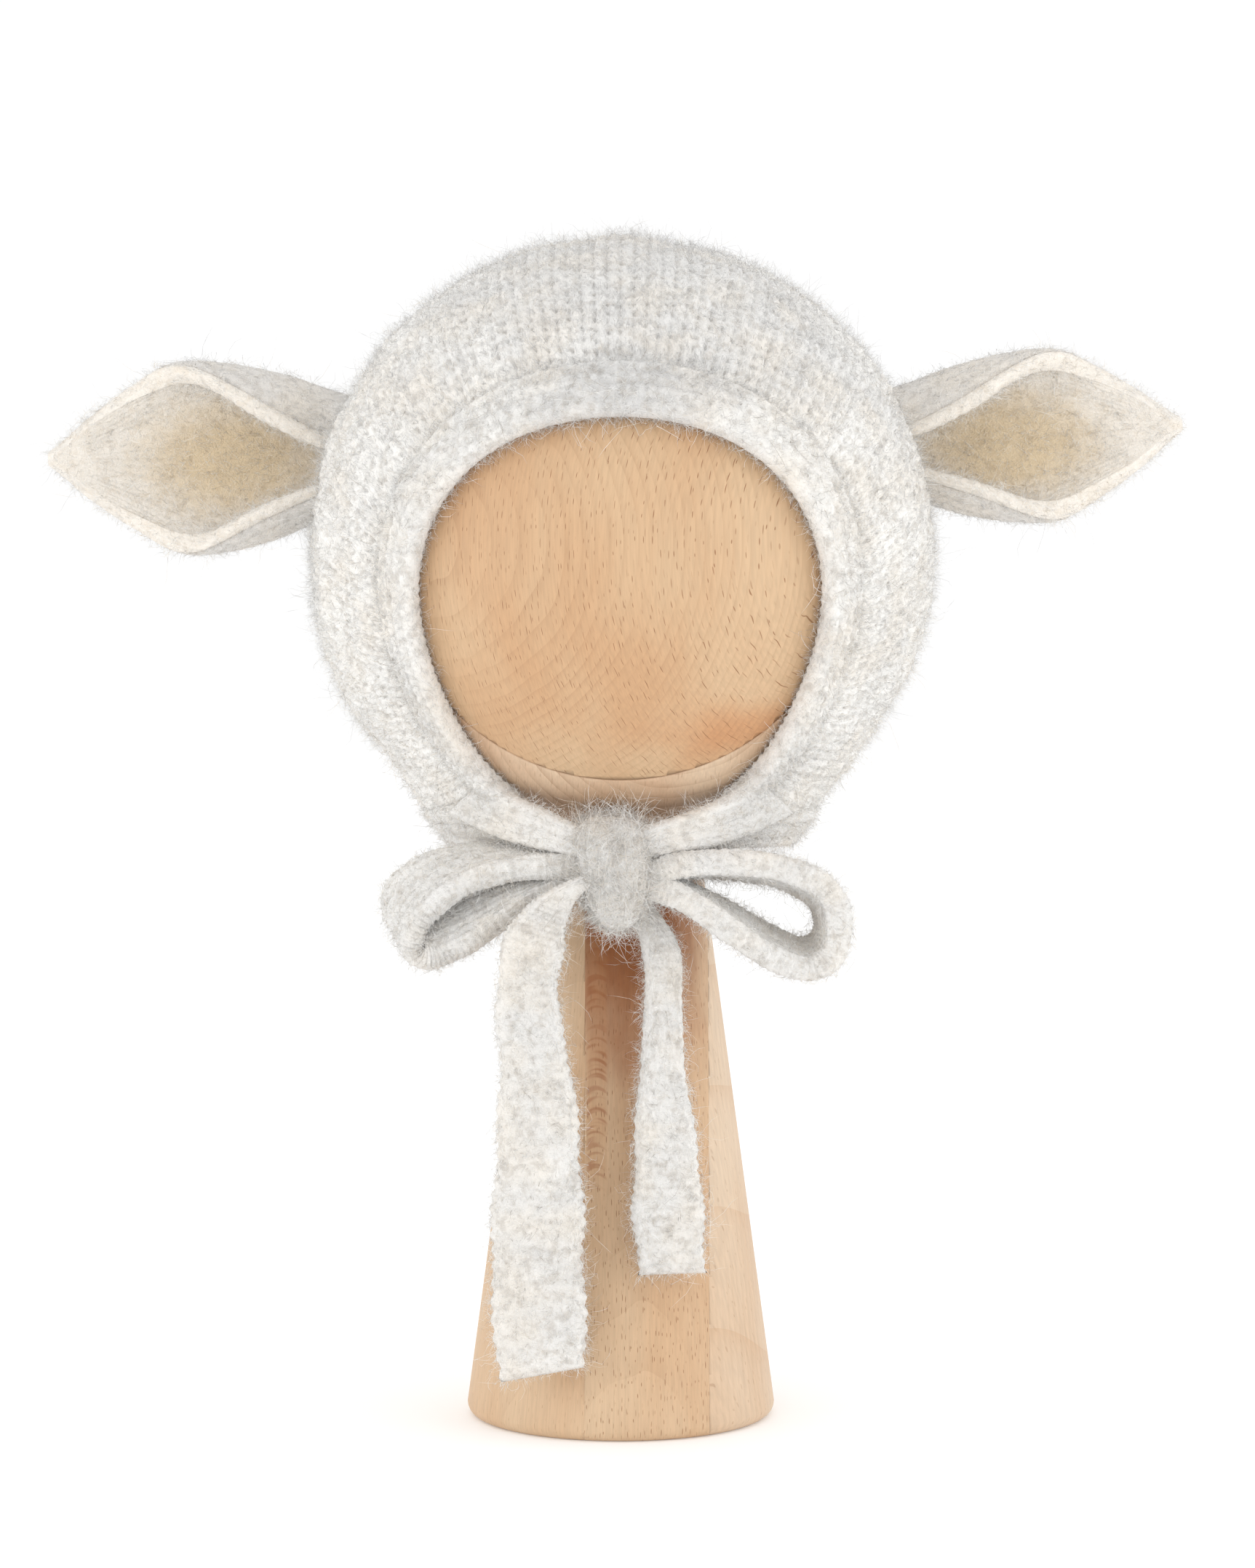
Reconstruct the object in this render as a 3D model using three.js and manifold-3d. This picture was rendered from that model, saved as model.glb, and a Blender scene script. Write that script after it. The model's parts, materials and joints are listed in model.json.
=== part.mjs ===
// Lamb-ear baby bonnet on a turned beech stand.
// Millimetres, +Z up. The origin is the middle of the stand's underside and the face looks along -Y.
import * as THREE from 'three';
import { ParametricGeometry } from 'three/addons/geometries/ParametricGeometry.js';
import { mergeVertices } from 'three/addons/utils/BufferGeometryUtils.js';
import Module from 'manifold-3d';

const wasm = await Module();
wasm.setup();

// Stand: a truncated cone of three glued boards, and a ball of four.
const BASE_RADIUS = 37;
const BASE_ROUNDING = 3;
const CONE_HEIGHT = 140.5;
const NECK_RADIUS = 18.5;
const CONE_GLUE_LEFT = -8.4;
const CONE_GLUE_RIGHT = 20.8;
const BALL_RADIUS = 70;
const BALL_HEIGHT = 208;
const BALL_BOARD = 45;
const DOWEL_RADIUS = 6;
const DOWEL_HALF = 20;
const DOWEL_PLAY = 0.35;

// Hood: knitted fabric over the ball, and a funnel from the ball down to the neck.
const PLAY = 0.4;
const HOOD_INSIDE = BALL_RADIUS + 0.5;
const HOOD_OUTSIDE = 74.2;
const FUNNEL_ANGLE = THREE.MathUtils.degToRad(52.9);
const HOOD_BOTTOM = 144.9;
const BAND_BOTTOM = 138.6;
const BAND_TOP = 144.5;
const BAND_THICK = 5;

// Face opening: angles from the face axis, which points forward and down.
const FACE_TILT = THREE.MathUtils.degToRad(20);
const HEM_END = 150;
const HEM_MIDDLE = 73.5;
const HEM_THICK = 5.8;
const CHIN_LEFT = -26;
const CHIN_RIGHT = 23;

// Tie: one flat knitted strap, tied in a bow under the chin.
const STRAP_THICK = 4;
const KNOT_PLACE = [-3, -40, 131.2];
const KNOT_SIZE = [9.3, 7.4, 12.6];

// Ears: a cupped leaf of two layers, sewn to the side of the hood.
const EAR_LEFT = { side: -1, height: 230, lift: 0, spread: 1, length: 63 };
const EAR_RIGHT = { side: 1, height: 233, lift: THREE.MathUtils.degToRad(5), spread: 0.88, length: 60.5 };
const EAR_ROOT = 74.4;
const EAR_DEPTH = 0.42;
const EAR_ROOT_SLOPE = 0.3;
const SEAM_RADIUS = 0.8;

const WOOD = { color: 0xe4c29c, roughness: 0.55, metalness: 0 };
const KNIT = { color: 0xe2dfda, roughness: 0.95, metalness: 0 };
const LINING = { color: 0xebe0d2, roughness: 0.95, metalness: 0 };

const group = new THREE.Group();

// ---------------------------------------------------------------- solids

const vector = (point) => new THREE.Vector3(...point);

// Merges doubled vertices, drops empty triangles and turns the faces outward.
function closed(source) {
  const bare = new THREE.BufferGeometry();
  bare.setAttribute('position', source.getAttribute('position').clone());
  bare.setIndex(source.index ? source.index.clone() : null);
  const merged = mergeVertices(bare, 1e-4);
  const index = merged.index.array;
  const corner = [0, 1, 2].map(() => new THREE.Vector3());
  const kept = [];
  let volume = 0;
  for (let i = 0; i < index.length; i += 3) {
    const [a, b, c] = index.slice(i, i + 3);
    if (a === b || b === c || c === a) continue;
    kept.push(a, b, c);
    corner.forEach((point, k) => point.fromBufferAttribute(merged.attributes.position, index[i + k]));
    volume += corner[0].dot(corner[1].clone().cross(corner[2]));
  }
  merged.setIndex(volume < 0 ? kept.reverse() : kept);
  merged.computeVertexNormals();
  return merged;
}

function toSolid(geometry) {
  const shape = closed(geometry);
  return new wasm.Manifold(new wasm.Mesh({
    numProp: 3,
    vertProperties: Float32Array.from(shape.attributes.position.array),
    triVerts: Uint32Array.from(shape.index.array),
  }));
}

function fromSolid(body) {
  const mesh = body.getMesh();
  const geometry = new THREE.BufferGeometry();
  geometry.setAttribute('position', new THREE.BufferAttribute(mesh.vertProperties, 3));
  geometry.setIndex(new THREE.BufferAttribute(mesh.triVerts, 1));
  return closed(geometry);
}

// A solid turned about Z from [radius, height] pairs that start and end on the axis.
function turned(profile, sides) {
  const points = profile.map(([radius, height]) => new THREE.Vector2(radius, height));
  return toSolid(new THREE.LatheGeometry(points, sides).rotateX(Math.PI / 2));
}

function block(low, high) {
  const size = high.map((value, axis) => value - low[axis]);
  const middle = high.map((value, axis) => (value + low[axis]) / 2);
  return toSolid(new THREE.BoxGeometry(...size).translate(...middle));
}

function add(name, geometry, finish) {
  const mesh = new THREE.Mesh(geometry, new THREE.MeshStandardMaterial(finish));
  mesh.name = name;
  group.add(mesh);
}

// A sheet with a thickness: at(s, t) is its middle surface, s along it and t across it,
// and it fills the space between the offsets low and high from that surface.
function plate(at, across, along, low, high) {
  const ring = 2 * across + 2;
  const rows = along + 2;
  const step = 1e-3;
  const normal = (s, t) => {
    const s0 = Math.min(s, 1 - step);
    const t0 = Math.min(t, 1 - step);
    const here = at(s0, t0);
    const alongway = at(s0 + step, t0).sub(here);
    return alongway.cross(at(s0, t0 + step).sub(here)).normalize();
  };
  const place = (u, v, target) => {
    const column = Math.round(u * ring) % ring;
    const row = Math.round(v * rows);
    const outer = column <= across;
    const s = THREE.MathUtils.clamp(row - 1, 0, along) / along;
    const t = (outer ? column : ring - 1 - column) / across;
    const isEnd = row === 0 || row === rows;
    const offset = isEnd ? (low + high) / 2 : (outer ? high : low);
    target.copy(at(s, t)).addScaledVector(normal(s, t), offset);
  };
  return closed(new ParametricGeometry(place, ring, rows));
}

// A strap between two edges, each a smooth curve through a few points.
function strap(front, rear, along, thickness = STRAP_THICK) {
  const [first, second] = [front, rear].map((edge) => new THREE.CatmullRomCurve3(edge.map(vector)));
  const at = (s, t) => first.getPoint(s).lerp(second.getPoint(s), t);
  return plate(at, 2, along, -thickness / 2, thickness / 2);
}

// ---------------------------------------------------------------- stand

function buildCone() {
  const corner = [0, 1, 2, 3].map((k) => {
    const angle = (k / 3) * (Math.PI / 2);
    const radius = BASE_RADIUS - BASE_ROUNDING * (1 - Math.sin(angle));
    return [radius, BASE_ROUNDING * (1 - Math.cos(angle))];
  });
  const cone = turned([[0, 0], ...corner, [NECK_RADIUS, CONE_HEIGHT], [0, CONE_HEIGHT]], 48);
  const boards = [
    ['cone_left_lamella', -BASE_RADIUS, CONE_GLUE_LEFT],
    ['cone_centre_lamella', CONE_GLUE_LEFT, CONE_GLUE_RIGHT],
    ['cone_right_lamella', CONE_GLUE_RIGHT, BASE_RADIUS],
  ];
  for (const [name, from, to] of boards) {
    const board = block([from, -BASE_RADIUS, 0], [to, BASE_RADIUS, CONE_HEIGHT]);
    add(name, fromSolid(cone.intersect(board).subtract(dowelHole())), WOOD);
  }
}

function dowelHole() {
  const radius = DOWEL_RADIUS + DOWEL_PLAY;
  const from = CONE_HEIGHT - DOWEL_HALF - DOWEL_PLAY;
  const to = CONE_HEIGHT + DOWEL_HALF + DOWEL_PLAY;
  return turned([[0, from], [radius, from], [radius, to], [0, to]], 24);
}

function buildBall() {
  const ball = toSolid(new THREE.SphereGeometry(BALL_RADIUS, 36, 18)
    .rotateX(Math.PI / 2)
    .translate(0, 0, BALL_HEIGHT));
  const names = ['ball_front_board', 'ball_second_board', 'ball_third_board', 'ball_back_board'];
  names.forEach((name, k) => {
    const from = (k - 2) * BALL_BOARD;
    const low = [-BALL_RADIUS, from, CONE_HEIGHT];
    const high = [BALL_RADIUS, from + BALL_BOARD, BALL_HEIGHT + BALL_RADIUS];
    add(name, fromSolid(ball.intersect(block(low, high)).subtract(dowelHole())), WOOD);
  });
}

function buildDowel() {
  const [from, to] = [CONE_HEIGHT - DOWEL_HALF, CONE_HEIGHT + DOWEL_HALF];
  const profile = [[0, from], [DOWEL_RADIUS, from], [DOWEL_RADIUS, to], [0, to]];
  add('neck_dowel', fromSolid(turned(profile, 20)), WOOD);
}

// ---------------------------------------------------------------- hood

// Direction from the ball's centre: `away` from the face axis, `round` from the top of the face.
function faceDirection(away, round) {
  const axis = new THREE.Vector3(0, -Math.cos(FACE_TILT), -Math.sin(FACE_TILT));
  const up = new THREE.Vector3(0, -Math.sin(FACE_TILT), Math.cos(FACE_TILT));
  return axis.multiplyScalar(Math.cos(away))
    .addScaledVector(up, Math.sin(away) * Math.cos(round))
    .add(new THREE.Vector3(Math.sin(away) * Math.sin(round), 0, 0));
}

// Degrees from the face axis to the edge of the face opening: round, a little pointed at the chin.
const faceEdge = (round) => 41 + Math.cos(round) + 2.6 * Math.cos(2 * round) - 2.2 * Math.cos(3 * round);
const hemWidth = (round) => 9 + 3.2 * Math.cos(round);

function facePoint(degrees, round, radius) {
  return faceDirection(THREE.MathUtils.degToRad(degrees), round)
    .multiplyScalar(radius)
    .add(new THREE.Vector3(0, 0, BALL_HEIGHT));
}

// The cone from the ball's centre through the outer edge of the hem.
function faceCutter(margin, reach) {
  const place = (u, v, target) => {
    const round = u * 2 * Math.PI;
    const rim = faceEdge(round) + hemWidth(round) + margin;
    if (v < 0.25) target.set(0, 0, BALL_HEIGHT);
    else if (v < 0.75) target.copy(facePoint(rim, round, reach));
    else target.copy(facePoint(0, 0, reach));
  };
  return toSolid(new ParametricGeometry(place, 40, 2));
}

// Half a turned outline of the hood: the ball's outline, tangent to a straight funnel.
function hoodOutline(radius, bottom) {
  const points = [];
  const steps = 12;
  for (let k = 0; k <= steps; k += 1) {
    const angle = Math.PI - (k / steps) * (Math.PI - FUNNEL_ANGLE);
    points.push([radius * Math.sin(angle), BALL_HEIGHT - radius * Math.cos(angle)]);
  }
  points[0][0] = 0;
  points.push([funnelRadius(radius, bottom), bottom], [0, bottom]);
  return points.reverse();
}

function funnelRadius(radius, height) {
  const start = BALL_HEIGHT - radius * Math.cos(FUNNEL_ANGLE);
  return radius * Math.sin(FUNNEL_ANGLE) - (start - height) / Math.tan(FUNNEL_ANGLE);
}

function buildHood() {
  const outside = turned(hoodOutline(HOOD_OUTSIDE, HOOD_BOTTOM), 36);
  const inside = turned(hoodOutline(HOOD_INSIDE, HOOD_BOTTOM - 1), 36);
  const marginDegrees = 0.4;
  const shell = outside.subtract(inside).subtract(faceCutter(marginDegrees, 110));
  add('hood_shell', fromSolid(shell), KNIT);
}

function buildHem() {
  const at = (s, t) => {
    const round = THREE.MathUtils.degToRad((2 * s - 1) * HEM_END);
    return facePoint(faceEdge(round) + t * hemWidth(round), round, HEM_MIDDLE);
  };
  add('face_hem', plate(at, 2, 40, -HEM_THICK / 2, HEM_THICK / 2), KNIT);
}

function buildNeckBand() {
  const edge = (height, inward) => [funnelRadius(HOOD_OUTSIDE + 0.8 - inward, height), height];
  const ring = [
    edge(BAND_BOTTOM, BAND_THICK),
    edge(BAND_BOTTOM, 0),
    edge(BAND_TOP, 0),
    edge(BAND_TOP, BAND_THICK),
    edge(BAND_BOTTOM, BAND_THICK),
  ];
  const gap = block([CHIN_LEFT, -BALL_RADIUS, BAND_BOTTOM - 1], [CHIN_RIGHT, -15, BAND_TOP + 1]);
  add('neck_band', fromSolid(turned(ring, 36).subtract(gap)), KNIT);
}

function buildCrownGather() {
  const ring = new THREE.TorusGeometry(3.4, 1.2, 6, 14)
    .rotateX(Math.PI / 2 + FACE_TILT)
    .translate(...facePoint(180, 0, HOOD_OUTSIDE + 1.6));
  add('crown_gather', closed(ring), KNIT);
}

// ---------------------------------------------------------------- bow

function mirrorLead(side, knotSide) {
  const upper = [[side * 21.8, -37.4, 148.6], [side * 17, -38.8, 146], [knotSide, -40, 143.6]];
  const lower = [[side * 23, -40, 143.2], [side * 17, -41, 141.6], [knotSide, -41.4, 140.4]];
  return strap(upper, lower, 5, 3.6);
}

function buildKnot() {
  const knot = new THREE.SphereGeometry(1, 20, 12).rotateX(Math.PI / 2);
  const position = knot.attributes.position;
  const [width, depth, height] = KNOT_SIZE;
  for (let i = 0; i < position.count; i += 1) {
    const point = new THREE.Vector3().fromBufferAttribute(position, i);
    const level = Math.sign(point.z) * Math.abs(point.z) ** 0.8;
    const fold = 1 + 0.05 * Math.cos(5 * Math.atan2(point.y, point.x)) * Math.hypot(point.x, point.y);
    position.setXYZ(i, point.x * width * fold, point.y * depth * fold, level * height);
  }
  knot.translate(...KNOT_PLACE);
  const leftRoot = strap(
    [[-10, -45, 129], [-13, -46, 124], [-13.2, -46, 119.7]],
    [[-9, -42, 131], [-18, -43.5, 126], [-23.8, -44.4, 119.7]],
    5,
  );
  const rightRoot = strap(
    [[1, -37, 126], [4, -37, 120], [5, -37, 115.6]],
    [[3, -34, 127], [10, -34.5, 121], [14, -35.4, 115.6]],
    5,
  );
  add('bow_knot', fromSolid(toSolid(knot).add(toSolid(leftRoot)).add(toSolid(rightRoot))), KNIT);
}

function buildLoops() {
  const left = strap(
    [[-14, -43.5, 133.6], [-19.1, -43.4, 133.8], [-27.5, -43.4, 132.6], [-34.7, -43.6, 129.8],
      [-40.7, -43.8, 125.6], [-45.4, -43.8, 120.4], [-47, -43.8, 116.2], [-45.8, -43.4, 113.2],
      [-42, -43, 112.6], [-37, -42.6, 114.6], [-31, -42.2, 118.2], [-23.9, -42, 123.6], [-14, -42, 129.6]],
    [[-14, -35, 134.8], [-20, -33, 135.8], [-28, -31.4, 136.1], [-36, -30.4, 136], [-43, -29.6, 135],
      [-49.6, -29, 132], [-53, -29, 127.6], [-52.6, -29, 124.4], [-49, -29.4, 123.2], [-43, -30, 124.8],
      [-35, -31.4, 127.8], [-25, -33.6, 130.2], [-14, -36, 131]],
    26,
  );
  const right = strap(
    [[8.2, -44, 133.4], [12.5, -44.6, 134.8], [19, -45, 135.6], [28, -45, 135.6], [36, -45, 134.6],
      [42, -45, 132.8], [47, -45, 130], [50, -45, 125], [50.4, -45, 118.6], [48.4, -45, 113],
      [44, -45, 110.6], [38, -45, 111.8], [31.8, -45, 114.8], [25.6, -45, 119.2],
      [18.6, -45, 124.2], [12.8, -44.4, 127.8], [8.2, -44, 129.2]],
    [[8.2, -37, 133], [12.5, -35, 133.8], [19, -32, 133.8], [28, -30, 133.2], [36, -30, 131.6],
      [41.4, -30, 129.4], [45.4, -30, 126.2], [47.4, -30, 122.2], [47, -30, 118.6],
      [45, -30, 116], [41.6, -30, 115.2], [37.4, -30, 116.4], [32.2, -30, 119.2],
      [26.4, -31, 122.4], [19.6, -33, 126], [12.8, -35, 128.8], [8.2, -37, 129.6]],
    30,
  );
  add('bow_loop_left', left, KNIT);
  add('bow_loop_right', right, KNIT);
}

function buildTails() {
  const left = strap(
    [[-12.9, -46, 117.1], [-14.2, -46.2, 104], [-10.9, -45, 85], [-9, -44, 64], [-8.4, -42.6, 43],
      [-8.2, -41.2, 18.6]],
    [[-25.6, -46, 116.6], [-28.4, -46.2, 104], [-27.7, -45, 85], [-28.9, -44, 64],
      [-29.8, -42.6, 43], [-28, -41, 15]],
    16,
  );
  const right = strap(
    [[5.3, -37.4, 113], [5.6, -38, 100], [4, -38.2, 82.7], [3.2, -38, 65], [2.8, -37.8, 52.7],
      [4.4, -37.6, 39.4]],
    [[14, -35.4, 113], [14, -35.8, 100], [15.5, -36.6, 82.7], [18.2, -37, 65],
      [19.2, -37, 52.7], [19.6, -36.8, 39.8]],
    14,
  );
  add('tie_tail_left', left, KNIT);
  add('tie_tail_right', right, KNIT);
}

// ---------------------------------------------------------------- ears

// Half the seen height of the ear, and how far each edge curls over, along its length.
const curve = (points) => {
  const spline = new THREE.SplineCurve(points.map(([x, y]) => new THREE.Vector2(x, y)));
  return (s) => spline.getPoint(s).y;
};
const earHalf = curve([[0, 12.4], [0.17, 17], [0.33, 19.8], [0.5, 20.2], [0.67, 16.4], [0.83, 9.6],
  [1, 1.2]]);
const curlUpper = curve([[0, 172], [0.25, 146], [0.5, 106], [0.75, 62], [1, 34]]);
const curlLower = curve([[0, 150], [0.25, 132], [0.5, 92], [0.75, 58], [1, 34]]);

// The ear's middle surface in its own frame: +X from the hood to the tip, the cup opens to -Y.
function earSurface(ear, s, t) {
  const turn = THREE.MathUtils.degToRad((t < 0.5 ? curlLower(s) : curlUpper(s)) * (2 * t - 1));
  const widest = Math.max(curlLower(s), curlUpper(s));
  const reach = widest < 90 ? Math.sin(THREE.MathUtils.degToRad(widest)) : 1;
  const radius = earHalf(s) / reach;
  const z = ear.spread * radius * Math.sin(turn);
  const back = 6 + 3 * Math.sin(Math.PI * s) - 6 * s;
  const y = -EAR_DEPTH * radius * (1 - Math.cos(turn)) + back;
  const x = ear.length * s + EAR_ROOT_SLOPE * Math.abs(z) * (1 - s) ** 4;
  return new THREE.Vector3(x, y, z);
}

function placeEar(ear, geometry) {
  geometry.rotateY(-ear.lift);
  geometry.translate(EAR_ROOT, 0, ear.height);
  geometry.scale(ear.side, 1, 1);
  return closed(geometry);
}

// The yarn seam that follows the hood's side under the root of the ear.
function buildSeam(ear) {
  const path = new THREE.CatmullRomCurve3([-6, -2, 2, 6, 10].map((z) => {
    const hood = Math.sqrt(HOOD_OUTSIDE ** 2 - (ear.height + z - BALL_HEIGHT) ** 2);
    return new THREE.Vector3(ear.side * (hood + SEAM_RADIUS + PLAY), 5, ear.height + z);
  }));
  const section = new THREE.Shape().absarc(0, 0, SEAM_RADIUS, 0, 2 * Math.PI);
  const options = { extrudePath: path, steps: 8, curveSegments: 4, bevelEnabled: false };
  return closed(new THREE.ExtrudeGeometry(section, options));
}

function buildEar(name, ear) {
  const at = (s, t) => earSurface(ear, s, t);
  add(`${name}_shell`, placeEar(ear, plate(at, 14, 10, -2.1, -0.4)), KNIT);
  add(`${name}_lining`, placeEar(ear, plate(at, 14, 10, 0.4, 1.7)), LINING);
  add(`${name}_seam`, buildSeam(ear), KNIT);
}

buildCone();
buildBall();
buildDowel();
buildHood();
buildHem();
buildNeckBand();
buildCrownGather();
add('tie_lead_left', mirrorLead(-1, -13.2), KNIT);
add('tie_lead_right', mirrorLead(1, 7.4), KNIT);
buildKnot();
buildLoops();
buildTails();
buildEar('ear_left', EAR_LEFT);
buildEar('ear_right', EAR_RIGHT);

export default group;
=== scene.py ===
"""Lamb-ear baby bonnet, hand knitted in a brushed yarn, tied in a bow on a turned beech stand."""

import json  # noqa: E402
import logging  # noqa: E402
import math  # noqa: E402
from dataclasses import dataclass, field  # noqa: E402
from enum import Enum  # noqa: E402
from typing import Any, Callable, Sequence  # noqa: E402

import bmesh  # noqa: E402
import bpy  # noqa: E402
import numpy as np  # noqa: E402
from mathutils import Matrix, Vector  # noqa: E402

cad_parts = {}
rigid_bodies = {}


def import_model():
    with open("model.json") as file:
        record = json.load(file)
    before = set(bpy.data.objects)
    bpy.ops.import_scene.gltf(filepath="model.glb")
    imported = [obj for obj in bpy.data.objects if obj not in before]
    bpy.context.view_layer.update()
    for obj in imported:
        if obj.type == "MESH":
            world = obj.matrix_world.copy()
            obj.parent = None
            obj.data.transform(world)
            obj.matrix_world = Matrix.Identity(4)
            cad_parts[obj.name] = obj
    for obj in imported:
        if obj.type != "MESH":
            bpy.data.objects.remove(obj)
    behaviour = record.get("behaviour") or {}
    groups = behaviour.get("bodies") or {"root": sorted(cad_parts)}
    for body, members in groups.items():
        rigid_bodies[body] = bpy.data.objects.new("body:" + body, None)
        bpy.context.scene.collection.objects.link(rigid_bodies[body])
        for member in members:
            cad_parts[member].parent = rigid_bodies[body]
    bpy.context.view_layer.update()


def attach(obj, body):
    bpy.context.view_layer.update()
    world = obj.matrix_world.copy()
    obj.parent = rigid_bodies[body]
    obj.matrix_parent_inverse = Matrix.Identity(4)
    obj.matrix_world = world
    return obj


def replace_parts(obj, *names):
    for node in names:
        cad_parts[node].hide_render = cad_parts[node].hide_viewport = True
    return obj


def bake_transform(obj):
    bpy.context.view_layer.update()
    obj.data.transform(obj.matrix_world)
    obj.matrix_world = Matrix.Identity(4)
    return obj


LOG = logging.getLogger("bonnet")
MM = 0.001
FULL_TURN = 2 * math.pi
BALL_MIDDLE = 208.0  # height of the ball's middle, millimetres
HOOD_OUTSIDE = 74.2  # radius of the hood's outside, millimetres

Array = np.ndarray
Point = tuple[float, float, float]
Rail = Sequence[Point]
Place = Callable[[Array, Array], Array]


# ---------------------------------------------------------------- colours and nodes


def linear(code: str) -> tuple[float, float, float, float]:
    """Turns an sRGB hex colour to linear light.

    Args:
        code: six hex digits, such as "E4C09A".

    Returns:
        Red, green, blue and alpha.
    """
    parts = [int(code[i : i + 2], 16) / 255 for i in (0, 2, 4)]
    red, green, blue = (
        p / 12.92 if p <= 0.04045 else ((p + 0.055) / 1.055) ** 2.4 for p in parts
    )
    return red, green, blue, 1.0


def add_node(
    tree: bpy.types.NodeTree,
    kind: str,
    settings: dict[str, Any] | None = None,
    **inputs: Any,
) -> bpy.types.Node:
    """Adds a shader node with its settings, values and links.

    Args:
        tree: the material's node tree.
        kind: the node's type without "ShaderNode".
        settings: properties of the node itself.
        inputs: a value or a source socket for each input, by name or as _0, _1 by number.

    Returns:
        The new node.
    """
    node = tree.nodes.new("ShaderNode" + kind)
    for key, value in (settings or {}).items():
        setattr(node, key, value)
    for key, value in inputs.items():
        place = int(key[1:]) if key[0] == "_" else key.replace("_", " ")
        socket = node.inputs[place]
        if isinstance(value, bpy.types.NodeSocket):
            tree.links.new(value, socket)
        else:
            socket.default_value = value
    return node


class Recipe:
    """A material's node tree, with short words for the steps that repeat."""

    def __init__(self, name: str) -> None:
        """Starts an empty material with Object coordinates."""
        self.material = bpy.data.materials.new(name)
        self.material.use_nodes = True
        self.tree = self.material.node_tree
        self.tree.nodes.clear()
        self.here = self.node("TexCoord").outputs["Object"]

    def node(self, kind: str, settings: dict[str, Any] | None = None, **inputs: Any) -> bpy.types.Node:
        """Adds a node to this material."""
        return add_node(self.tree, kind, settings, **inputs)

    def math(self, operation: str, *values: Any) -> bpy.types.NodeSocket:
        """Adds a Math node and gives its result."""
        inputs = {f"_{i}": value for i, value in enumerate(values)}
        return self.node("Math", {"operation": operation}, **inputs).outputs[0]

    def fade(self, value: Any, low: float, high: float, out_low: float = 0.0, out_high: float = 1.0) -> Any:
        """Maps low..high to out_low..out_high with a soft start and end."""
        settings = {"interpolation_type": "SMOOTHSTEP"}
        spread = self.node("MapRange", settings, Value=value, From_Min=low, From_Max=high,
                           To_Min=out_low, To_Max=out_high)
        return spread.outputs["Result"]

    def scaled(self, scale: Point, turn: float = 0.0, move: Point = (0, 0, 0), source: Any = None) -> Any:
        """Object coordinates, moved in metres, turned about Z, then scaled.

        Args:
            scale: cycles for each metre along X, Y and Z.
            turn: radians about Z.
            move: the point, in millimetres, that becomes the origin.
            source: coordinates to use instead of Object coordinates.

        Returns:
            The vector socket.
        """
        moved = self.node("Mapping", Vector=source or self.here, Location=[-m * MM for m in move])
        turned = self.node("Mapping", Vector=moved.outputs[0], Rotation=(0, 0, turn))
        return self.node("Mapping", Vector=turned.outputs[0], Scale=scale).outputs[0]

    def noise(self, vector: Any, detail: float = 2.0, scale: float = 1.0) -> Any:
        """Noise in 0..1 at the scale of the vector."""
        return self.node("TexNoise", Vector=vector, Scale=scale, Detail=detail).outputs["Fac"]

    def blend(self, factor: Any, first: Any, second: Any, way: str = "MIX") -> Any:
        """Mixes two colours."""
        settings = {"data_type": "RGBA", "blend_type": way}
        mix = self.node("Mix", settings, _0=factor, _6=first, _7=second)
        return mix.outputs[2]

    def surface(self, bump: Any = None, bump_depth: float = 0.0, **inputs: Any) -> bpy.types.Material:
        """Ends the material in one Principled shader.

        Args:
            bump: a height in 0..1, or None.
            bump_depth: what a height of 1 stands for, in millimetres.
            inputs: the shader's own values and links.

        Returns:
            The finished material.
        """
        if bump is not None:
            relief = self.node("Bump", Height=bump, Distance=bump_depth * MM, Strength=1.0)
            inputs["Normal"] = relief.outputs[0]
        shader = self.node("BsdfPrincipled", **inputs)
        self.node("OutputMaterial", Surface=shader.outputs[0])
        return self.material


# ---------------------------------------------------------------- finishes


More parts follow.
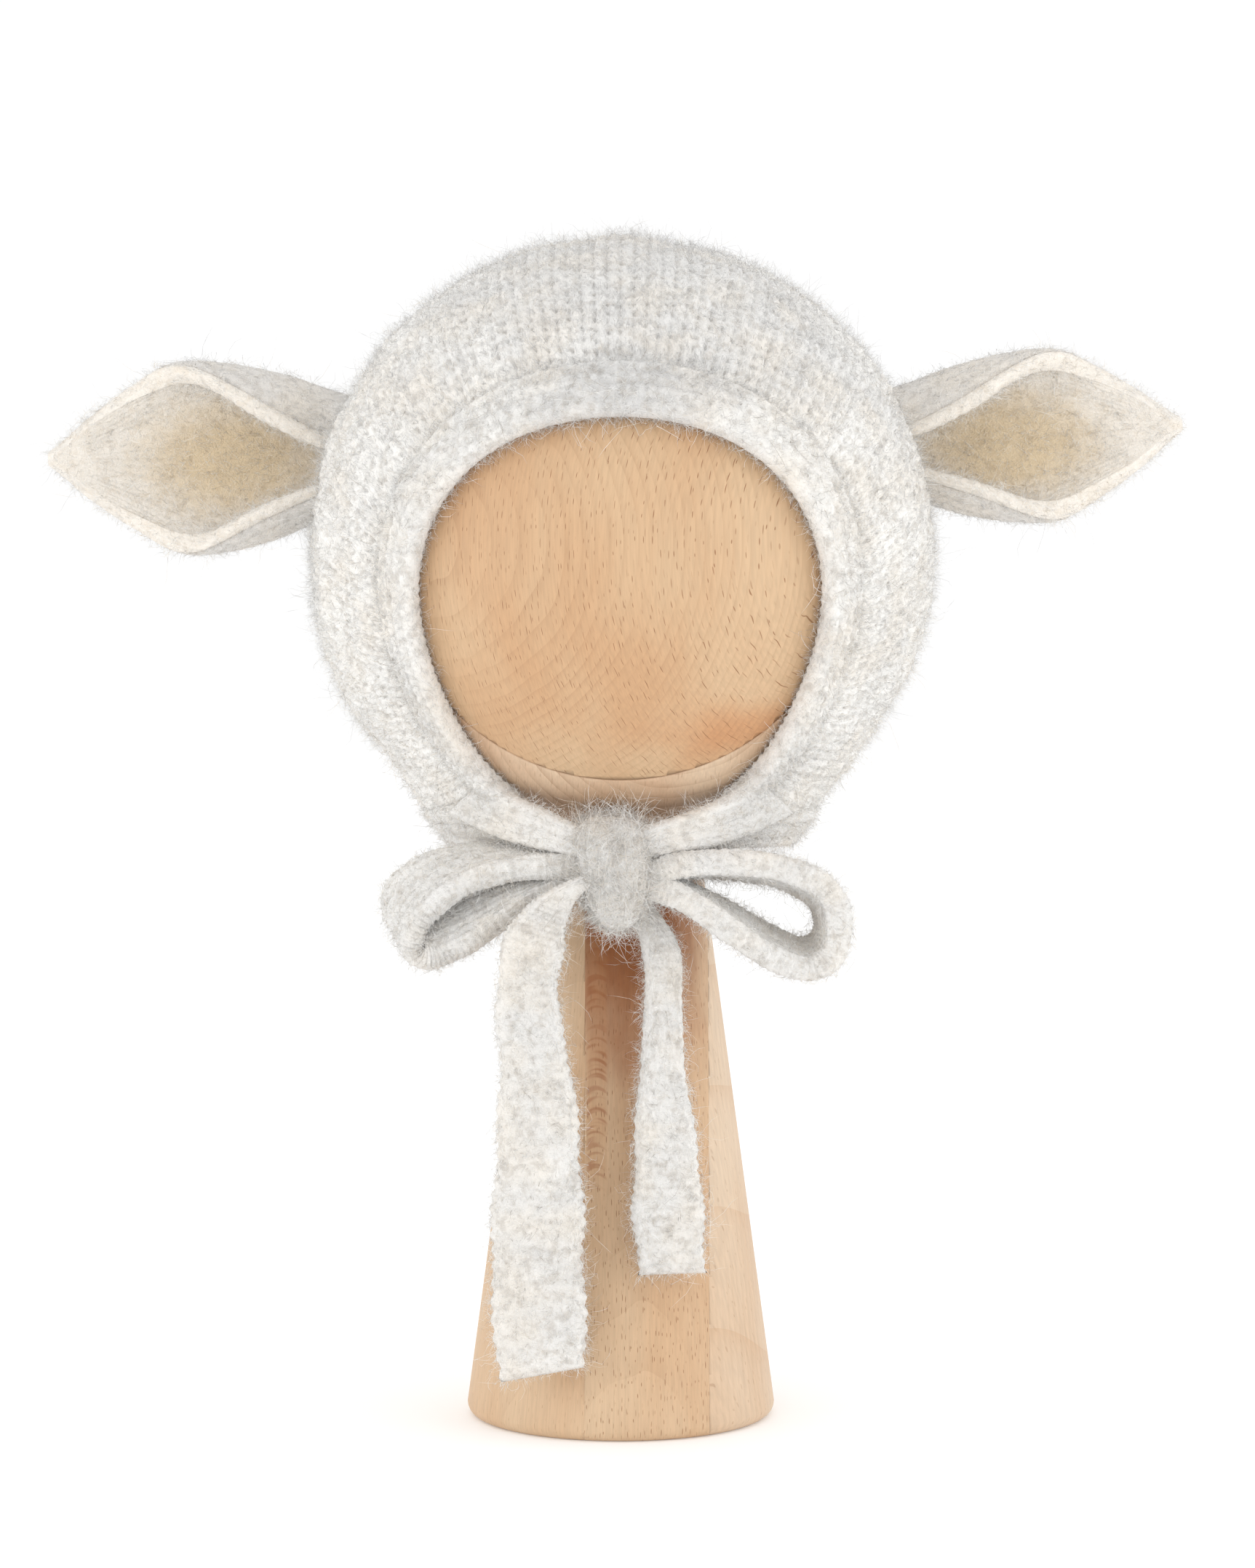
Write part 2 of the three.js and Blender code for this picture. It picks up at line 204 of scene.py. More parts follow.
@dataclass(frozen=True)
class Beech:
    """Steamed beech, turned and sanded: short dark ray flecks, soft growth rings, a faint satin."""

    name: str
    light: str = "D0B494"
    warm: str = "C8A480"
    dark: str = "8A5A36"
    turn: float = 0.0  # radians from +Y to the direction of the rays, about Z
    pith: tuple[float, float] = (0.0, 400.0)  # the tree's middle, in millimetres, in the turned frame
    ring: float = 2.0  # millimetres between growth rings
    ring_depth: float = 0.2
    fleck_gap: tuple[float, float] = (1.7, 4.2)  # millimetres between flecks, across and along
    fleck_size: tuple[float, float] = (0.15, 1.15)  # half a fleck's width and length
    fleck_depth: float = 0.75
    patch: tuple[Point, Point, str, float] | None = None  # middle, half size, colour, strength
    glue: tuple[int, float] | None = None  # axis and place of a glue line
    # a column of ray arcs: middle, half width, low, high
    arcs: tuple[float, float, float, float] | None = None
    sweep: tuple[float, float] | None = None  # cathedral figure: where it starts across, and its period

    def material(self) -> bpy.types.Material:
        """Builds the wood from rays, rings, fibres and broad colour drift."""
        r = Recipe(self.name)
        moved = r.scaled((1, 1, 1), turn=self.turn)
        drift = r.noise(r.scaled((40, 40, 12), turn=self.turn), 3)
        split = r.node("SeparateXYZ", Vector=moved)
        across, deep, height = split.outputs

        # Growth rings: cylinders round the pith, a little wavy.
        dx = r.math("SUBTRACT", across, self.pith[0] * MM)
        dy = r.math("SUBTRACT", deep, self.pith[1] * MM)
        reach = r.math("SQRT", r.math("ADD", r.math("MULTIPLY", dx, dx), r.math("MULTIPLY", dy, dy)))
        wave = r.noise(r.scaled((60, 60, 7), turn=self.turn, move=(7, 3, 1)), 2)
        warped = r.math("ADD", reach, r.math("MULTIPLY", wave, 2.2 * MM))
        step = r.math("FRACT", r.math("DIVIDE", warped, self.ring * MM))
        late = r.math("POWER", step, 3.0)
        faint = r.fade(r.noise(r.scaled((90, 90, 20), move=(2, 8, 5)), 2), 0.35, 0.7, 0.35, 1)
        ring = r.math("MULTIPLY", r.math("MULTIPLY", late, faint), self.ring_depth)

        # Ray flecks: thin sheets that run with the trunk and towards its middle.
        gap_x, gap_z = self.fleck_gap
        sway = r.noise(r.scaled((300, 300, 90), move=(3, 1, 7)), 1)
        sway = r.math("MULTIPLY", r.math("SUBTRACT", sway, 0.5), 0.9 * MM)
        fleck_x = r.math("DIVIDE", r.math("ADD", across, sway), gap_x * MM)
        fleck_z = r.math("DIVIDE", height, gap_z * MM)
        plane = r.node("CombineXYZ", X=fleck_x, Y=fleck_z)
        cells = r.node("TexVoronoi", {"voronoi_dimensions": "2D"}, Vector=plane.outputs[0], Scale=1.0)
        away = r.node("VectorMath", {"operation": "SUBTRACT"}, _0=plane.outputs[0],
                      _1=cells.outputs["Position"])
        part = r.node("SeparateXYZ", Vector=away.outputs[0])
        luck = r.node("SeparateColor", Color=cells.outputs["Color"])
        long = r.fade(luck.outputs[0], 0, 1, 0.35 * self.fleck_size[1], self.fleck_size[1])
        ex = r.math("DIVIDE", part.outputs[0], self.fleck_size[0] / gap_x)
        ez = r.math("DIVIDE", r.math("MULTIPLY", part.outputs[1], gap_z), long)
        inside = r.math("ADD", r.math("MULTIPLY", ex, ex), r.math("MULTIPLY", ez, ez))
        mark = r.fade(inside, 1.5, 0.3)
        fleck = r.math("MULTIPLY", mark, r.fade(luck.outputs[1], 0.1, 0.95, 0.15, self.fleck_depth))

        # Fibres: fine streaks along the trunk.
        streak = r.noise(r.scaled((2600, 700, 110), turn=self.turn), 2)
        colour = r.blend(r.fade(drift, 0.3, 0.72), linear(self.light), linear(self.warm))
        shade = r.fade(streak, 0.25, 0.75, 0.93, 1.05)
        colour = r.blend(1.0, colour, r.node("CombineColor", Red=shade, Green=shade, Blue=shade).outputs[0],
                         "MULTIPLY")
        colour = r.blend(ring, colour, linear(self.dark))
        for drawn, step_in in ((self.patch, self.tinted), (self.glue, self.glued),
                               (self.arcs, self.arched), (self.sweep, self.swept)):
            if drawn:
                colour = step_in(r, colour)
        colour = r.blend(fleck, colour, linear(self.dark))
        rough = r.fade(streak, 0.2, 0.8, 0.5, 0.62)
        height_map = r.math("SUBTRACT", r.math("MULTIPLY", streak, 0.4), fleck)
        return r.surface(height_map, 0.05, Base_Color=colour, Roughness=rough, IOR=1.5,
                         Specular_IOR_Level=0.35)

    def tinted(self, r: Recipe, colour: Any) -> Any:
        """Lays a soft patch of colour over the wood: a warm patch on the front ball board, and painted shade under
        the bow's knot on the centre cone board.
        """
        middle, half, code, strength = self.patch
        near = r.scaled([1 / (h * MM) for h in half], move=middle)
        far = r.node("VectorMath", {"operation": "LENGTH"}, _0=near).outputs["Value"]
        rough_edge = r.math("ADD", far, r.math("MULTIPLY", r.noise(r.scaled((110, 110, 60)), 3), 0.5))
        return r.blend(r.fade(rough_edge, 1.3, 0.45, 0, strength), colour, linear(code), "MULTIPLY")

    def arched(self, r: Recipe, colour: Any) -> Any:
        """Stacks the reddish arcs that cut rays leave beside a glue line."""
        middle, half, low, high = self.arcs
        split = r.node("SeparateXYZ", Vector=r.here)
        off = r.math("DIVIDE", r.math("SUBTRACT", split.outputs[0], middle * MM), half * MM)
        square = r.math("MULTIPLY", off, off)
        bent = r.math("ADD", split.outputs[2], r.math("MULTIPLY", square, 1.3 * MM))
        line = r.node("CombineXYZ", X=r.math("MULTIPLY", off, 0.25), Y=0.0, Z=r.math("MULTIPLY", bent, 620))
        stripe = r.fade(r.noise(line.outputs[0], 1), 0.48, 0.62)
        groups = r.fade(r.noise(r.scaled((0, 0, 75), move=(0, 0, 11)), 0), 0.35, 0.55, 0.45, 1)
        inside = r.math("MULTIPLY", r.fade(square, 1.2, 0.35), groups)
        tall = r.math("MULTIPLY", r.fade(split.outputs[2], (low - 4) * MM, (low + 6) * MM),
                      r.fade(split.outputs[2], (high + 4) * MM, (high - 6) * MM))
        mask = r.math("MULTIPLY", r.math("MULTIPLY", stripe, inside), r.math("MULTIPLY", tall, 0.6))
        colour = r.blend(r.math("MULTIPLY", r.math("MULTIPLY", inside, tall), 0.3), colour, linear("BE885A"))
        return r.blend(mask, colour, linear("94552F"))

    def swept(self, r: Recipe, colour: Any) -> Any:
        """Draws the broad arcs of flat-sawn growth rings down from the glue line."""
        start, period = self.sweep
        split = r.node("SeparateXYZ", Vector=r.here)
        off = r.math("SUBTRACT", split.outputs[0], start * MM)
        bent = r.math("ADD", split.outputs[2], r.math("MULTIPLY", r.math("MULTIPLY", off, off), 47.0))
        step = r.math("FRACT", r.math("DIVIDE", r.math("ADD", bent, 3 * MM), period * MM))
        return r.blend(r.math("MULTIPLY", r.math("POWER", step, 7.0), 0.2), colour, linear("B98656"))

    def glued(self, r: Recipe, colour: Any) -> Any:
        """Draws the thin dark line where two boards meet."""
        axis, place = self.glue
        split = r.node("SeparateXYZ", Vector=r.here)
        off = r.math("ABSOLUTE", r.math("SUBTRACT", split.outputs[axis], place * MM))
        return r.blend(r.fade(off, 0.35 * MM, 0.1 * MM, 0, 0.35), colour, linear(self.dark))


@dataclass(frozen=True)
class Knit:
    """Brushed wool and alpaca knit: matt, mottled by blended fibres, with a pale sheen at its edge."""

    name: str
    light: str = "F7F5F1"
    grey: str = "D8D7D6"
    warm: str = "F0E8DC"
    deep: str = "C4BDB4"
    grey_share: float = 0.5
    # more grey gathers here as painted shade; the default middle and reach keep it even
    middle: Point = (0, 0, BALL_MIDDLE)  # millimetres, where the grey gathers
    reach: float = 1000.0

    def material(self) -> bpy.types.Material:
        """Builds the cloth between the fibres: yarn mottle, broad drift, painted shade as more grey towards the
        middle point, and shaded gaps.
        """
        r = Recipe(self.name)
        yarn = r.noise(r.scaled((420, 420, 420)), 3)
        drift = r.noise(r.scaled((34, 34, 34), move=(3, 9, 4)), 3)
        near = r.scaled([1 / (self.reach * MM)] * 3, move=self.middle)
        far = r.node("VectorMath", {"operation": "LENGTH"}, _0=near).outputs["Value"]
        # painted shade: the grey grows towards the middle point, added to the real grey drift
        top_shade_pull = r.fade(far, 0.2, 1.2, 0.16, -0.1)
        share = r.fade(r.math("ADD", drift, top_shade_pull), 0.36, 0.62)
        colour = r.blend(r.math("MULTIPLY", share, self.grey_share), linear(self.light), linear(self.grey))
        beige = r.noise(r.scaled((70, 70, 70), move=(8, 2, 6)), 3)
        colour = r.blend(r.fade(beige, 0.42, 0.7, 0, 0.6), colour, linear(self.warm))
        colour = r.blend(r.fade(yarn, 0.52, 0.3, 0, 0.55), colour, linear(self.deep))
        fluff = r.noise(r.scaled((2400, 2400, 2400)), 3)
        return r.surface(r.math("ADD", yarn, fluff), 0.35, Base_Color=colour, Roughness=0.95, IOR=1.5,
                         Specular_IOR_Level=0.1, Sheen_Weight=0.35, Sheen_Roughness=0.6)


@dataclass(frozen=True)
class CreamLining:
    """Brushed cream wool knit inside an ear: matt, pale at the rim and tan where it lies deep, a tan that is
    partly the wool's own and mostly painted shade in the cup.
    """

    name: str
    side: int
    height: float
    light: str = "F3ECE2"
    # tan deep in the cup: partly the wool's own colour, mostly painted shade
    tan: str = "DCC8A8"
    deep: str = "CDB797"

    def material(self) -> bpy.types.Material:
        """Builds the lining from its depth in the cup, tan deep down as partly real colour and mostly painted
        shade, with yarn mottle and shaded gaps.
        """
        r = Recipe(self.name)
        near = r.scaled((1 / 0.030, 1 / 0.012, 1 / 0.019), move=(self.side * 94, 5, self.height))
        far = r.node("VectorMath", {"operation": "LENGTH"}, _0=near).outputs["Value"]
        rough_edge = r.math("ADD", far, r.math("MULTIPLY", r.noise(r.scaled((260, 260, 260)), 3), 0.5))
        # painted shade with some real tan: tan towards the deep middle of the cup, cream towards the rim
        colour = r.blend(r.fade(rough_edge, 1.35, 0.5), linear(self.light), linear(self.tan))
        yarn = r.noise(r.scaled((420, 420, 420)), 3)
        colour = r.blend(r.fade(yarn, 0.52, 0.3, 0, 0.2), colour, linear(self.deep))
        fluff = r.noise(r.scaled((2400, 2400, 2400)), 3)
        return r.surface(r.math("ADD", yarn, fluff), 0.35, Base_Color=colour, Roughness=0.95, IOR=1.5,
                         Specular_IOR_Level=0.1, Sheen_Weight=0.35, Sheen_Roughness=0.6)


@dataclass(frozen=True)
class FibreTone:
    """One colour of loose wool fibre: a fine matt hair, the same all along."""

    name: str
    code: str

    def material(self) -> bpy.types.Material:
        """Builds the plain fibre colour; the look comes from thousands of crossing hairs."""
        r = Recipe(self.name)
        return r.surface(Base_Color=linear(self.code), Roughness=0.8, IOR=1.5, Specular_IOR_Level=0.2,
                         Sheen_Weight=0.5, Sheen_Roughness=0.5)


class Tone(Enum):
    """The fibre colours that the yarn is blended from; the grey and dark fibres also carry painted shade at the
    top and between the stitches, and the tan fibres painted shade in the ear's cup.
    """

    WHITE = FibreTone("fibre_white", "F8F7F4")
    GREY = FibreTone("fibre_light_grey", "D9D8D7")
    BEIGE = FibreTone("fibre_beige", "EFE7DB")
    DARK = FibreTone("fibre_brown_grey", "A89F95")
    TAN = FibreTone("fibre_tan", "E0D0B7")


# ---------------------------------------------------------------- curves and cloth


def unit(vectors: Array) -> Array:
    """Scales each row to length one."""
    return vectors / np.maximum(np.linalg.norm(vectors, axis=-1, keepdims=True), 1e-9)


def smooth(value: Array, low: float, high: float) -> Array:
    """Soft step from 0 at low to 1 at high."""
    x = np.clip((value - low) / (high - low), 0, 1)
    return x * x * (3 - 2 * x)


def rail_point(points: Rail, place: Array) -> Array:
    """Points on a centripetal Catmull-Rom curve.

    Args:
        points: what the curve goes through.
        place: 0 at the first point to 1 at the last.

    Returns:
        One row for each place.
    """
    given = np.array(points, float)
    ends = np.vstack([2 * given[0] - given[1], given, 2 * given[-1] - given[-2]])
    spans = len(given) - 1
    at = np.clip(place, 0, 1) * spans
    first = np.minimum(at.astype(int), spans - 1)
    w = (at - first)[:, None]
    p = [ends[first + k] for k in range(4)]
    gap = [np.maximum(np.linalg.norm(p[k + 1] - p[k], axis=1, keepdims=True) ** 0.5, 1e-4) for k in range(3)]

    def slope(a: int) -> Array:
        before, after = gap[a - 1], gap[a]
        return ((p[a] - p[a - 1]) / before - (p[a + 1] - p[a - 1]) / (before + after)
                + (p[a + 1] - p[a]) / after) * gap[1]

    start, end = slope(1), slope(2)
    rise = p[2] - p[1]
    return p[1] + start * w + (3 * rise - 2 * start - end) * w**2 + (start + end - 2 * rise) * w**3


def waves(points: Array, size: float, seed: int, count: int = 9) -> Array:
    """Smooth seeded noise, about -1 to 1.

    Args:
        points: places in millimetres.
        size: the usual distance between two bumps.
        seed: which noise.
        count: how many waves are added.

    Returns:
        One value for each point.
    """
    rng = np.random.default_rng(seed)
    ways = unit(rng.normal(size=(count, 3))) * rng.uniform(0.6, 1.6, (count, 1)) * FULL_TURN / size
    return np.sin(points @ ways.T + rng.uniform(0, FULL_TURN, count)).sum(axis=1) / math.sqrt(count)


class Stitch(Enum):
    """How the yarn lies on the cloth's face."""

    SMOOTH = "columns of V-shaped stitches"
    GARTER = "ridges of purl bumps"

    def height(self, column: Array, row: Array) -> Array:
        """The yarn's height above the cloth, 0 to 1.

        Args:
            column: stitches counted across.
            row: rows counted along.

        Returns:
            One height for each place.
        """
        if self is Stitch.SMOOTH:
            side = np.abs(2 * (column % 1) - 1)
            leg = np.abs(np.sin(math.pi * (row - 0.8 * side))) ** 0.7
            return (1 - side**3.2) * (1 - 0.25 * np.exp(-((side / 0.16) ** 2))) * (0.66 + 0.34 * leg)
        ridge = np.abs(np.sin(math.pi * row)) ** 0.8
        return ridge * (0.65 + 0.35 * np.cos(FULL_TURN * (column + 0.5 * np.floor(row))))


def shaped_grid(across: int, along: int, place: Place) -> bmesh.types.BMesh:
    """A grid whose corners are moved onto a closed surface, with what then meets merged.

    Args:
        across: faces across.
        along: faces along.
        place: gives points in millimetres from u and v in 0..1.

    Returns:
        The mesh, in metres, facing outward.
    """
    bm = bmesh.new()
    bmesh.ops.create_grid(bm, x_segments=across, y_segments=along, size=0.5)
    flat = np.array([v.co[:] for v in bm.verts]) + 0.5
    for vertex, spot in zip(bm.verts, (place(flat[:, 0], flat[:, 1]) * MM).tolist(), strict=True):
        vertex.co = spot
    bmesh.ops.remove_doubles(bm, verts=bm.verts[:], dist=2e-6)
    bmesh.ops.recalc_face_normals(bm, faces=bm.faces[:])
    return bm


def make_object(name: str, bm: bmesh.types.BMesh, *materials: bpy.types.Material) -> bpy.types.Object:
    """Turns a bmesh into a smooth object at the origin.

    Args:
        name: the piece's name.
        bm: its mesh in metres, freed here.
        materials: its finishes.

    Returns:
        The object, linked to the scene.
    """
    mesh = bpy.data.meshes.new(name)
    bm.to_mesh(mesh)
    bm.free()
    mesh.shade_smooth()
    for material in materials:
        mesh.materials.append(material)
    obj = bpy.data.objects.new(name, mesh)
    bpy.context.scene.collection.objects.link(obj)
    return obj


@dataclass
class Cloth:
    """A knitted strip with two faces and rounded edges.

    middle(s, t) is its middle surface: s runs along it and t across it, both 0 to 1.
    """

    middle: Place
    thickness: float
    columns: float
    rows: float
    across: int = 24
    along: int = 120
    edge: int = 6
    margin: float = 0.1
    stitch: Stitch = Stitch.SMOOTH
    relief: float = 0.5
    ridge: float = 0.0
    low: float | None = None  # offset of the back, when the cloth lies to one side
    end_round: tuple[float, float] = (0.02, 0.02)
    scallop: float = 0.0  # how far the edge swells at each pair of rows, as a share of the width
    thin_edge: float = 1.0  # the thickness left at the far edge
    chain: tuple[float, float] | None = None  # a ridge of chain stitches: its place across, and its height
    rim: float = 0.0  # how far the edges swell to one side, to cover a second layer
    bare: int = 0  # the face that carries no fibres: 1 front, -1 back
    rows_lengthwise: bool = False  # the rows of stitches follow the strip
    seed: int = 21

    def crest(self, a: Array, s: Array) -> Array:
        """The stitches' height round the section."""
        t, lift, _ = self.section(a)
        height = np.where(np.abs(lift) > 0.99, self.knit(s, t), 0.8)
        if self.chain:
            height = np.maximum(height, 1.2 * np.exp(-(((t - self.chain[0]) / 0.05) ** 2)))
        hidden = (lift * self.bare > 0.5) & (np.abs(2 * t - 1) < 0.84)
        return np.where(hidden, -1.0, height)

    def knit(self, s: Array, t: Array) -> Array:
        """The stitches' height, 0 to 1, at a place on the strip."""
        if self.rows_lengthwise:
            return self.stitch.height(s * self.rows, t * self.columns)
        return self.stitch.height(t * self.columns, s * self.rows)

    def flat(self) -> tuple[float, float, float]:
        """The middle surface's greatest width and length, and its area, in millimetres."""
        across, along = 48, 96
        t, s = np.meshgrid(np.linspace(0, 1, across + 1), np.linspace(0, 1, along + 1))
        grid = self.middle(s.ravel(), t.ravel()).reshape(along + 1, across + 1, 3)
        down, over = np.diff(grid, axis=0), np.diff(grid, axis=1)
        area = np.linalg.norm(np.cross(down[:, :-1], over[:-1]), axis=2).sum()
        width = np.linalg.norm(over, axis=2).sum(axis=1).max()
        length = np.linalg.norm(down, axis=2).sum(axis=0).max()
        return float(width), float(length), float(min(area, width * length))

    def normal(self, s: Array, t: Array) -> Array:
        """The way the cloth's front faces."""
        step = 1e-3
        s0, t0 = np.minimum(s, 1 - step), np.minimum(t, 1 - step)
        here = self.middle(s0, t0)
        return unit(np.cross(self.middle(s0 + step, t0) - here, self.middle(s0, t0 + step) - here))

    def section(self, a: Array) -> tuple[Array, Array, Array]:
        """Where a place round the strip's section lies.

        Args:
            a: 0 to 1 round the section, from the front face.

        Returns:
            The place across, the share of the half thickness, and the outward lean past the edge.
        """
        flat, bend = self.across, self.edge
        total = 2 * (flat + bend)
        at = np.round((a % 1.0) * total, 6)
        front = at < flat
        turn_far = (at >= flat) & (at < flat + bend)
        back = (at >= flat + bend) & (at < 2 * flat + bend)
        m = self.margin
        q = np.where(turn_far, (at - flat) / bend, (at - 2 * flat - bend) / bend)
        t = np.where(front, m + (1 - 2 * m) * at / flat,
                     np.where(back, 1 - m - (1 - 2 * m) * (at - flat - bend) / flat,
                              np.where(turn_far, 1 - m + m * np.sin(math.pi * q),
                                       m - m * np.sin(math.pi * q))))
        lift = np.where(front, 1.0, np.where(back, -1.0,
                        np.where(turn_far, np.cos(math.pi * q), -np.cos(math.pi * q))))
        lean = np.where(front | back, 0.0, np.where(turn_far, 1.0, -1.0) * np.sin(math.pi * q))
        return t, lift, lean

    def frame(self, a: Array, s: Array) -> tuple[Array, Array, Array]:
        """The outside of the cloth.

        Args:
            a: 0 to 1 round the section.
            s: 0 to 1 along the strip.

        Returns:
            Points, outward directions and directions along the strip.
        """
        t, lift, lean = self.section(a)
        out = self.normal(s, t)
        if self.scallop:
            swell = np.cos(math.pi * s * self.rows) ** 2 + 0.6 * np.sin(s * self.rows * 0.9 + self.seed)
            t = t + self.scallop * (swell - 0.5) * np.abs(2 * t - 1) ** 3 * np.sign(t - 0.5)
        step = 2e-3
        t0 = np.clip(t, step, 1 - step)
        side = self.middle(s, t0 + step) - self.middle(s, t0 - step)
        pitch = np.linalg.norm(side, axis=1) / (2 * step * self.columns)
        side = unit(side)
        s0 = np.clip(s, step, 1 - step)
        way = unit(self.middle(s0 + step, t) - self.middle(s0 - step, t))
        high = self.thickness / 2
        low = -high if self.low is None else self.low
        if self.rim:
            swell = np.maximum(smooth(np.abs(2 * t - 1), 0.82, 0.94), smooth(s, 0.95, 0.98))
            high, low = high + max(self.rim, 0) * swell, low + min(self.rim, 0) * swell
        middle, half = (high + low) / 2, (high - low) / 2
        end = np.minimum(s / self.end_round[0], (1 - s) / self.end_round[1])
        taper = np.sqrt(np.clip(1 - (1 - np.clip(end, 0, 1)) ** 2, 0, 1))
        bumps = self.relief * (self.knit(s, t) - 0.5) * smooth(pitch, 0.5, 1.4)
        if self.chain:
            link = 0.6 + 0.4 * np.cos(FULL_TURN * s * self.rows)
            bumps = bumps + self.chain[1] * link * np.exp(-(((t - self.chain[0]) / 0.045) ** 2))
        bumps = bumps + self.ridge * (np.exp(-(((t - 0.08) / 0.08) ** 2))
                                      + np.exp(-(((t - 0.92) / 0.08) ** 2)))
        half = half * (1 - (1 - self.thin_edge) * smooth(t, 0.45, 1.0))
        offset = middle + lift * (half + bumps) * taper
        points = self.middle(s, t) + out * offset[:, None]
        outward = unit(out * np.sign(lift)[:, None] * np.abs(lift)[:, None] + side * lean[:, None])
        return points, outward, way

    def mesh(self) -> bmesh.types.BMesh:
        """The strip's closed mesh."""
        around = 2 * (self.across + self.edge)
        return shaped_grid(around, self.along, lambda u, v: self.frame(u, v)[0])


# ---------------------------------------------------------------- loose fibres


def declare(piece: bpy.types.Object, cloth: Cloth) -> None:
    """Logs a strip's flat width, length and area, from the measures of its middle surface.

    Args:
        piece: the strip.
        cloth: what it was made from.
    """
    width, length, area = cloth.flat()
    LOG.info("%s: flat %.1f by %.1f mm, %.0f mm2", piece.name, width, length, area)


@dataclass(frozen=True)
class Pile:
    """How the loose fibres stand on a cloth. Lengths and widths are in millimetres."""

    density: float = 2.1  # short fibres for each square millimetre
    length: tuple[float, float] = (1.8, 4.4)
    width: float = 0.105
    lift: float = 0.24
    spread: float = 0.4
    curl: float = 0.35
    halo: float = 0.8  # fine lifted fibres for each square millimetre
    halo_length: tuple[float, float] = (2.4, 6.0)
    stray_density: float = 0.08
    stray_length: tuple[float, float] = (5.0, 13.0)
    stray_width: float = 0.07
    shares: tuple[float, ...] = (0.56, 0.26, 0.17, 0.01, 0.0)
    gap_share: float = 0.3  # how many fibres root between the stitches rather than on them
    # painted shade between the stitches, where little light reaches
    painted_gap_shade: float | Callable = 0.5  # how much darker the fibres are between the stitches


@dataclass
class Fluff:
    """Grows fibres on a surface and packs them into pieces of a limited size."""

    seed: int
    most: int = 190_000
    materials: list[bpy.types.Material] = field(default_factory=list)

    def __post_init__(self) -> None:
        """Starts the seeded random numbers and the fibre colours."""
        self.rng = np.random.default_rng(self.seed)
        self.materials = [tone.value.material() for tone in Tone]

    def seeds(self, frame: Callable, density: float, keep: Callable | None = None,
              crest: Callable | None = None, gap_share: float = 0.0) -> tuple[Array, ...]:
        """Scatters roots over a surface, mostly on the stitches and not between them.

        Args:
            frame: gives points, outward and along directions from (u, v).
            density: roots for each square millimetre.
            keep: says which points may carry fibres.
            crest: the stitches' height, 0 to 1, from (u, v).
            gap_share: the share of the fibres that may root at height 0.

        Returns:
            Points, outward directions, along directions and the stitches' height there.
        """
        nu, nv = 96, 96
        u, v = np.meshgrid((np.arange(nu) + 0.5) / nu, (np.arange(nv) + 0.5) / nv, indexing="ij")
        u, v, d = u.ravel(), v.ravel(), 0.4 / nu
        here = frame(u, v)[0]
        area = np.linalg.norm(np.cross(frame(u + d, v)[0] - here, frame(u, np.minimum(v + d, 1))[0] - here),
                              axis=1) / d**2 / (nu * nv)
        area = np.minimum(area, np.percentile(area, 99))
        count = int(area.sum() * density)
        cell = self.rng.choice(nu * nv, count, p=area / area.sum())
        u = (cell // nv + self.rng.random(count)) / nu
        v = (cell % nv + self.rng.random(count)) / nv
        points, out, along = frame(u, v)
        good = np.ones(count, bool) if keep is None else keep(points)
        high = np.ones(count) if crest is None else crest(u, v)
        share = gap_share + (1 - gap_share) * np.clip(high, 0, 1) ** 1.5
        good &= self.rng.random(count) < np.where(high < 0, 0, share)
        return points[good], out[good], along[good], high[good]

    def strands(self, roots: tuple[Array, ...], length: Array, width: float, steps: int,
                lift: Array, spread: float, curl: float) -> Array:
        """Bends a fibre out of each root.

        Args:
            roots: points, outward directions, along directions and heights.
            length: each fibre's length.
            width: the thickest part.
            steps: straight stretches in a fibre.
            lift: each fibre's angle off the cloth.
            spread: how far headings stray from the brushed direction.
            curl: how much a fibre turns from stretch to stretch.

        Returns:
            Corner points: one row of tip, rings of three and tip for each fibre.
        """
        points, out, along, _ = roots
        count = len(points)
        side = np.cross(out, along)
        turn = self.rng.normal(0, spread, count) + math.pi * (self.rng.random(count) < 0.35)
        head = along * np.cos(turn)[:, None] + side * np.sin(turn)[:, None]
        way = unit(head * np.cos(lift)[:, None] + out * np.sin(lift)[:, None])
        bend = self.rng.normal(0, curl, (count, 3))
        spot = points - out * 0.25
        corners = [spot]
        for k in range(steps):
            spot = spot + way * (length / steps)[:, None]
            if k < steps - 1:
                first = unit(np.cross(way, out + 0.01))
                second = np.cross(way, first)
                for turn_at in (0.0, FULL_TURN / 3, 2 * FULL_TURN / 3):
                    ring = first * math.cos(turn_at) + second * math.sin(turn_at)
                    corners.append(spot + ring * (width / 2))
            else:
                corners.append(spot)
            bend = bend + self.rng.normal(0, curl, (count, 3))
            way = unit(way + bend - out * (0.12 + 0.25 * np.sin(lift)[:, None]))
        return np.stack(corners, axis=1)

    def tones(self, roots: tuple[Array, ...], pile: Pile) -> Array:
        """Picks a fibre colour for each root: greyer at the top and between stitches as painted shade, paler low
        down as painted light, with soft patches.
        """
        points, high = roots[0], roots[3]
        shares = pile.shares
        odds = shares(points) if callable(shares) else np.array(shares)[None, :] * np.ones((len(points), 1))
        # painted shade and light: more grey fibres high up, where less light falls, and fewer low down, where more
        # falls
        level = smooth(points[:, 2], 215, 272) - smooth(points[:, 2], 200, 155)
        odds[:, 1] *= np.exp(0.7 * waves(points, 38, 11) + 0.3 * waves(points, 7, 14) + 1.5 * level)
        odds[:, 2] *= np.exp(0.7 * waves(points, 30, 12) - 0.3 * level)
        odds[:, 3] *= np.exp(0.9 * waves(points, 14, 13))
